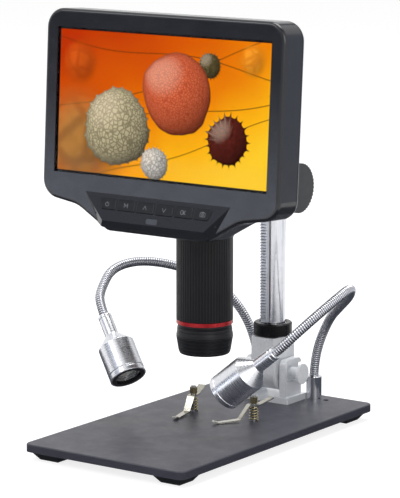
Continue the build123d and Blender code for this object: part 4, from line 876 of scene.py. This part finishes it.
# ---------------------------------------------------------------- lamps
class MICROSCOPE_OT_lamps(bpy.types.Operator):
    """Turn both lamp shells and their ridged lenses"""

    bl_idname = "microscope.lamps"
    bl_label = "Lamps"

    def execute(self, context):
        lamp = context.scene.microscope.lamp
        radius, barrel = lamp.radius / MM, lamp.barrel / MM
        cone_end, collar = (lamp.barrel + lamp.cone) / MM, lamp.collar / MM
        metal = turned_metal("turned_aluminium", lamp.metal, 0.27)
        clear = clear_material("lamp_plastic", tint(214, 216, 222), 0.04, 1.49, clear=0.8)
        rim = surface("lamp_rim", tint(16, 16, 18), 0.3, cloud_size=4 * MM)
        # painted light: the LED board glows faintly though the lamp is off, so that light shows through the
        # lens rings
        board = surface("led_board_painted_glow", tint(226, 226, 220), 0.4, cloud_size=3 * MM,
                        **{"Emission Color": opaque(tint(236, 232, 214)), "Emission Strength": 0.3})
        shell = [
            (0.0, 19.8), (9.8, 19.8), (9.8, 2.2), (radius - 1.0, 2.2), (radius - 1.0, 0.0),
            (radius - 0.15, 0.0), (radius, 0.2), (radius, 2.9), (radius - 0.35, 3.1), (radius - 0.35, 3.9),
            (radius, 4.1), (radius, barrel), (collar + 0.05, cone_end), (collar, cone_end + 0.2),
            (collar, 42.6), (collar - 0.25, 42.8), (collar - 0.25, 43.2), (collar, 43.4), (collar, 44.9),
            (collar - 0.5, 45.5), (0.0, 45.5),
        ]
        lens = [(0.0, 17.0), (4.2, 17.0), (9.7, 3.8), (9.7, 2.3)]
        for step in range(6):
            edge = 9.0 - 1.1 * step
            lens += [(edge, 2.3), (edge - 0.15, 2.75), (edge - 0.95, 2.35)]
        lens += [(2.2, 2.3), (1.6, 1.9), (0.8, 1.75), (0.0, 1.7)]
        for side in SIDES:
            place, body = lamp_frame(side), f"lamp_head_{side}"
            mesh = turned_mesh(f"lamp_shell_{side}", softened(shell, 0.14, 3, 0.1), 96, place)
            add_piece(f"lamp_shell_{side}", mesh, metal, body, "lamp_silver", f"lamp_housing_{side}")
            mesh = turned_mesh(f"lamp_lens_{side}", lens, 64, place)
            add_piece(f"lamp_lens_{side}", mesh, clear, body, "optic_clear", f"lamp_optic_{side}")
            coat(rim, f"lamp_ring_{side}")
            coat(board, f"lamp_led_{side}")
        return {"FINISHED"}


# ---------------------------------------------------------------- goosenecks
def neck_route(side):
    """The middle line of a gooseneck from its socket to inside its lamp's collar, in metres."""
    aim = Vector(LAMP_AIM[side]).normalized()
    hinge = Vector(LAMP_MOUTH[side]) - aim * LAMP_PIVOT
    route = [NECK_FOOT[side], *NECK_LOWER[side], *NECK_UPPER[side], hinge - aim * NECK_LAST_RUN[side], hinge]
    return millimetres(route)


def smooth_line(name, route):
    """A smooth curve that its route's points pull."""
    data = bpy.data.curves.new(name, "CURVE")
    data.dimensions = "3D"
    spline = data.splines.new("NURBS")
    spline.points.add(len(route) - 1)
    for point, place in zip(spline.points, route):
        point.co = (*place, 1.0)
    spline.order_u = 3
    spline.use_endpoint_u = True
    data.resolution_u = 24
    return placed(name, data)


def ribbed_tube_tree():
    """A geometry tree that wraps a tube with helical ribs round a curve."""
    tree = bpy.data.node_groups.new("ribbed_tube", "GeometryNodeTree")
    inputs = (("Line", "Geometry"), ("Radius", "Float"), ("Pitch", "Float"), ("Groove", "Float"),
              ("Samples", "Int"), ("Sides", "Int"), ("Metal", "Material"))
    for name, kind in inputs:
        tree.interface.new_socket(name, in_out="INPUT", socket_type=f"NodeSocket{kind}")
    tree.interface.new_socket("Tube", in_out="OUTPUT", socket_type="NodeSocketGeometry")
    wiring = Wiring(tree)
    sizes = wiring.add("NodeGroupInput").outputs
    step = wiring.maths("DIVIDE", sizes["Pitch"], sizes["Samples"])
    line = wiring.add("GeometryNodeResampleCurve", {"Curve": sizes["Line"]}, mode="LENGTH")
    wiring.put(line.inputs["Length"], step)
    parameter = wiring.add("GeometryNodeSplineParameter").outputs
    travelled = wiring.add("GeometryNodeCaptureAttribute")
    travelled.capture_items.new("FLOAT", "Along")
    travelled.capture_items.new("VECTOR", "Middle")
    wiring.put(travelled.inputs["Geometry"], line.outputs["Curve"])
    wiring.put(travelled.inputs["Along"], parameter["Length"])
    wiring.put(travelled.inputs["Middle"], wiring.add("GeometryNodeInputPosition").outputs["Position"])
    inputs = {"Resolution": sizes["Sides"], "Radius": sizes["Radius"]}
    circle = wiring.add("GeometryNodeCurvePrimitiveCircle", inputs)
    turned = wiring.add("GeometryNodeCaptureAttribute")
    turned.capture_items.new("FLOAT", "Around")
    wiring.put(turned.inputs["Geometry"], circle.outputs["Curve"])
    wiring.put(turned.inputs["Around"], wiring.add("GeometryNodeSplineParameter").outputs["Factor"])
    inputs = {"Curve": travelled.outputs["Geometry"], "Profile Curve": turned.outputs["Geometry"]}
    tube = wiring.add("GeometryNodeCurveToMesh", inputs)
    ribs = wiring.maths("DIVIDE", travelled.outputs["Along"], sizes["Pitch"])
    phase = wiring.maths("FRACT", wiring.maths("ADD", ribs, turned.outputs["Around"]))
    slope = wiring.maths("ABSOLUTE", wiring.maths("SUBTRACT", wiring.maths("MULTIPLY", phase, 2.0), 1.0))
    depth = wiring.maths("POWER", slope, 2.5)
    position = wiring.add("GeometryNodeInputPosition").outputs["Position"]
    outward = wiring.vectors("NORMALIZE", wiring.vectors("SUBTRACT", position, travelled.outputs["Middle"]))
    sunk = wiring.maths("MULTIPLY", wiring.maths("MULTIPLY", depth, sizes["Groove"]), -1.0)
    inputs = {"Geometry": tube.outputs["Mesh"], "Offset": wiring.resized(outward, sunk)}
    marked = wiring.add("GeometryNodeSetPosition", inputs).outputs["Geometry"]
    for name, value in (("along", travelled.outputs["Along"]), ("groove", depth)):
        inputs = {"Geometry": marked, "Name": name, "Value": value}
        marked = wiring.add("GeometryNodeStoreNamedAttribute", inputs).outputs[0]
    smooth = wiring.add("GeometryNodeSetShadeSmooth", {"Geometry": marked})
    real = wiring.add("GeometryNodeRealizeInstances", {"Geometry": smooth.outputs[0]})
    finished = wiring.add("GeometryNodeSetMaterial", {"Geometry": real.outputs[0], "Material": sizes["Metal"]})
    wiring.put(wiring.add("NodeGroupOutput").inputs["Tube"], finished.outputs[0])
    return tree


def grown_mesh(host, tree, values):
    """The plain mesh that a geometry tree makes of an object with the given inputs; the host is removed."""
    modifier = host.modifiers.new("grow", "NODES")
    modifier.node_group = tree
    for item in tree.interface.items_tree:
        if item.item_type == "SOCKET" and item.in_out == "INPUT" and item.name in values:
            modifier[item.identifier] = values[item.name]
    graph = bpy.context.evaluated_depsgraph_get()
    mesh = bpy.data.meshes.new_from_object(host.evaluated_get(graph))
    host.modifiers.remove(modifier)
    bpy.data.objects.remove(host)
    return mesh


def cut_run(whole, name, start, end):
    """The part of a tube between two lengths along it, with its ends closed."""
    shape = bmesh.new()
    shape.from_mesh(whole)
    along = shape.verts.layers.float["along"]
    outside = [
        face for face in shape.faces
        if not start <= sum(vertex[along] for vertex in face.verts) / len(face.verts) < end
    ]
    bmesh.ops.delete(shape, geom=outside, context="FACES")
    edges = [edge for edge in shape.edges if edge.is_boundary]
    bmesh.ops.holes_fill(shape, edges=edges, sides=0)
    return closed_mesh(name, shape, Matrix.Identity(4), sharp=60.0)


class MICROSCOPE_OT_necks(bpy.types.Operator):
    """Wind both goosenecks, each in three lengths that bend at its joints"""

    bl_idname = "microscope.necks"
    bl_label = "Goosenecks"

    def execute(self, context):
        neck = context.scene.microscope.neck
        metal = ribbed_metal("ribbed_steel", neck.metal)
        coat(surface("socket_chrome", tint(218, 219, 224), 0.12, metal=1.0, cloud=0.04, haze=0.03),
             "lamp_sockets")
        tree = ribbed_tube_tree()
        values = {"Radius": neck.radius, "Pitch": neck.pitch, "Groove": neck.groove, "Samples": neck.samples,
                  "Sides": neck.around, "Metal": metal}
        for side in SIDES:
            route = neck_route(side)
            whole = grown_mesh(smooth_line(f"neck_line_{side}", route), tree, values)
            lengths = [entry.value for entry in whole.attributes["along"].data]
            total = max(lengths)
            lower, upper, lamp = f"lamp_lower_{side}", f"lamp_upper_{side}", f"lamp_head_{side}"
            foot, hinge = route[0], route[-1]
            first, last = route[len(NECK_LOWER[side])], route[len(NECK_LOWER[side]) + 1]
            run, bend = (last - first).normalized(), (first + last) / 2
            aim = (hinge - route[-2]).normalized()
            near, far = NECK_TURN
            foot_end, tip_start = NECK_FOOT_LENGTH * MM, total - NECK_TIP_LENGTH * MM
            nodes = (f"gooseneck_lower_{side}", f"gooseneck_upper_{side}")
            cuts = (
                ("foot", 0.0, foot_end, "base", lower, foot + UP * near * MM, foot + UP * far * MM, nodes[:1]),
                ("bend", foot_end, tip_start, lower, upper, bend - run * NECK_BEND_REACH * MM,
                 bend + run * NECK_BEND_REACH * MM, nodes),
                ("tip", tip_start, total + MM, upper, lamp, hinge - aim * far * MM, hinge - aim * near * MM,
                 nodes[1:]),
            )
            for part, start, end, before, after, turn_start, turn_end, stands_for in cuts:
                name = f"neck_{part}_{side}"
                piece = add_piece(name, cut_run(whole, name, start, end), metal, None, "chrome", *stands_for)
                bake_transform(piece, before, after, start=tuple(turn_start), end=tuple(turn_end))
        return {"FINISHED"}


# ---------------------------------------------------------------- clips
class MICROSCOPE_OT_clips(bpy.types.Operator):
    """Finish the stage clips, their springs and their nuts"""

    bl_idname = "microscope.clips"
    bl_label = "Stage clips"

    def execute(self, context):
        coat(surface("clip_nickel", tint(184, 181, 170), 0.24, metal=1.0, cloud=0.08, cloud_size=5 * MM,
                     haze=0.08), "clip_strip_left", "clip_strip_right")
        coat(surface("clip_brass", tint(162, 151, 118), 0.22, metal=1.0, cloud=0.12, cloud_size=3 * MM),
             "clip_nut_left", "clip_nut_right", "clip_springs")
        return {"FINISHED"}


# ---------------------------------------------------------------- studio
CAMERA_PLACE = Vector((0.9283, -1.3149, 0.4121))
CAMERA_AIM = Vector((-0.5687, 0.8031, -0.1785))
CAMERA_LENS = 192.5
CARD_COLOUR = (0.86, 0.93, 1.12, 1.0)
FLOOR_REACH = 6000
FLOOR_TOP = -0.05


def soft_lamp(name, place, target, size, power):
    """A square soft lamp that points at a target."""
    data = bpy.data.lights.new(name, "AREA")
    data.shape = "SQUARE"
    data.size = size
    data.energy = power
    lamp = placed(name, data)
    lamp.location = place
    lamp.rotation_mode = "QUATERNION"
    lamp.rotation_quaternion = (Vector(target) - Vector(place)).to_track_quat("-Z", "Y")


def shows_white(wiring):
    """1 for the rays that see the background: the camera's, mirrored and through glass."""
    rays = wiring.add("ShaderNodeLightPath").outputs
    seen = wiring.maths("MAXIMUM", rays["Is Camera Ray"], rays["Is Glossy Ray"])
    return wiring.maths("MAXIMUM", seen, rays["Is Transmission Ray"])


def floor_material():
    """A white floor that keeps the object's shadow."""
    material, wiring = blank_material("studio_floor")
    white = shows_white(wiring)
    grey = wiring.mixed(white, (0.75, 0.75, 0.75), (0.4, 0.4, 0.4))
    shade = wiring.add("ShaderNodeBsdfDiffuse", {"Color": grey})
    glow = wiring.add("ShaderNodeEmission", {"Strength": wiring.maths("MULTIPLY", white, 0.82)})
    wiring.show(wiring.add("ShaderNodeAddShader", {0: shade.outputs[0], 1: glow.outputs[0]}))
    return material


def studio_card(name, place, target, outline, level):
    """A card that only mirrored rays see, grey or glowing by its level; its outline is in millimetres."""
    material, wiring = blank_material(name)
    wiring.show(wiring.add("ShaderNodeEmission", {"Color": CARD_COLOUR, "Strength": level}))
    shape = bmesh.new()
    slab(shape, outline, -2.0, 0.0)
    turn = (Vector(target) - Vector(place)).to_track_quat("-Z", "Y").to_matrix().to_4x4()
    mesh = closed_mesh(name, shape, Matrix.Translation(place) @ turn)
    mesh.materials.append(material)
    card = placed(name, mesh)
    card.visible_camera = card.visible_diffuse = card.visible_shadow = card.visible_transmission = False


def box_outline(width, height, low=None):
    """The outline of an upright rectangle round its place, or standing on a height below it."""
    bottom = -height / 2 if low is None else low
    top = bottom + height
    return [(-width / 2, bottom), (width / 2, bottom), (width / 2, top), (-width / 2, top)]


class MICROSCOPE_OT_studio(bpy.types.Operator):
    """Set the floor, the lamps, the backdrop and the camera"""

    bl_idname = "microscope.studio"
    bl_label = "Studio"

    def execute(self, context):
        scene = context.scene
        studio = scene.microscope.studio
        shape = bmesh.new()
        slab(shape, box_outline(2 * FLOOR_REACH, 2 * FLOOR_REACH), -20.0, FLOOR_TOP)
        mesh = closed_mesh("studio_floor", shape, Matrix.Identity(4))
        mesh.materials.append(floor_material())
        placed("studio_floor", mesh)

        target = (0.0, 0.0, 0.14)
        soft_lamp("key_lamp", (-0.9, -1.35, 1.25), target, 1.1, studio.key_power)
        soft_lamp("fill_lamp", (1.5, -0.9, 0.8), target, 0.9, studio.fill_power)
        soft_lamp("top_lamp", (0.1, 0.35, 1.7), target, 1.0, studio.top_power)
        level_target = (0.0, -0.045, 0.09)
        front_left = (-0.86, -1.27, 0.09)
        studio_card("card_glow", front_left, level_target, box_outline(900, 105, -85), 3.2)
        slanted = [(-450, 65), (450, -15), (450, 420), (-450, 420)]
        studio_card("card_dark", front_left, level_target, slanted, 0.04)
        studio_card("card_haze", front_left, level_target, box_outline(900, 700, 420), 0.55)
        studio_card("card_over", (0.73, -0.34, 1.5), target, box_outline(1500, 420), 0.12)
        studio_card("card_view", (0.17, -1.63, 0.58), target, box_outline(1000, 800), 0.35)
        studio_card("card_back", (-0.13, 0.74, 0.65), (0.0, 0.077, 0.65), box_outline(110, 1290), 0.2)
        studio_card("card_side", (0.56, 0.62, 0.2), (0.09, -0.04, 0.2), box_outline(420, 560, -200), 0.6)
        # painted shadow: a dark square on the floor that only mirrored rays see, so that metal mirrors a shaded
        # floor round the object
        studio_card("card_floor_painted_shadow", (0.0, 0.0, 0.0006), (0.0, 0.0, -1.0), box_outline(620, 620), 0.1)

        world = bpy.data.worlds.new("studio_air")
        world.use_nodes = True
        world.node_tree.nodes.clear()
        wiring = Wiring(world.node_tree)
        white = shows_white(wiring)
        air = wiring.add("ShaderNodeBackground", {"Color": (1.0, 1.0, 1.0, 1.0)})
        wiring.put(air.inputs["Strength"], wiring.span(white, 0.0, 1.0, studio.ambient, 1.0))
        wiring.put(wiring.add("ShaderNodeOutputWorld").inputs["Surface"], air.outputs[0])
        scene.world = world

        lens = bpy.data.cameras.new("camera")
        lens.lens = CAMERA_LENS
        lens.sensor_width = 36.0
        lens.clip_end = 30.0
        camera = placed("camera", lens)
        camera.location = CAMERA_PLACE
        camera.rotation_mode = "QUATERNION"
        camera.rotation_quaternion = CAMERA_AIM.to_track_quat("-Z", "Y")
        scene.camera = camera
        scene.view_settings.view_transform = "Standard"
        return {"FINISHED"}


# ---------------------------------------------------------------- add-on
class MICROSCOPE_PT_panel(bpy.types.Panel):
    """Sizes, colours and makers of the microscope"""

    bl_idname = "MICROSCOPE_PT_panel"
    bl_label = "Microscope"
    bl_space_type = "VIEW_3D"
    bl_region_type = "UI"
    bl_category = "Microscope"

    def draw(self, context):
        settings = context.scene.microscope
        for name in ("stand", "head", "neck", "lamp", "studio"):
            box = self.layout.box()
            box.label(text=name.capitalize())
            group = getattr(settings, name)
            for field in group.__annotations__:
                box.prop(group, field)
        for maker in MAKERS:
            self.layout.operator(maker.bl_idname)


MAKERS = (
    MICROSCOPE_OT_stand,
    MICROSCOPE_OT_head,
    MICROSCOPE_OT_picture,
    MICROSCOPE_OT_keys,
    MICROSCOPE_OT_ports,
    MICROSCOPE_OT_barrel,
    MICROSCOPE_OT_lamps,
    MICROSCOPE_OT_necks,
    MICROSCOPE_OT_clips,
    MICROSCOPE_OT_studio,
)
CLASSES = (
    HeadSettings,
    NeckSettings,
    LampSettings,
    StandSettings,
    StudioSettings,
    MicroscopeSettings,
    *MAKERS,
    MICROSCOPE_PT_panel,
)


def register():
    """Add the classes and the scene's settings."""
    for item in CLASSES:
        bpy.utils.register_class(item)
    bpy.types.Scene.microscope = PointerProperty(type=MicroscopeSettings)


def unregister():
    """Remove the settings and the classes."""
    del bpy.types.Scene.microscope
    for item in reversed(CLASSES):
        bpy.utils.unregister_class(item)


def main():
    """Make every piece."""
    register()
    for maker in MAKERS:
        family, action = maker.bl_idname.split(".")
        getattr(getattr(bpy.ops, family), action)()


if __name__ == "__main__":
    main()
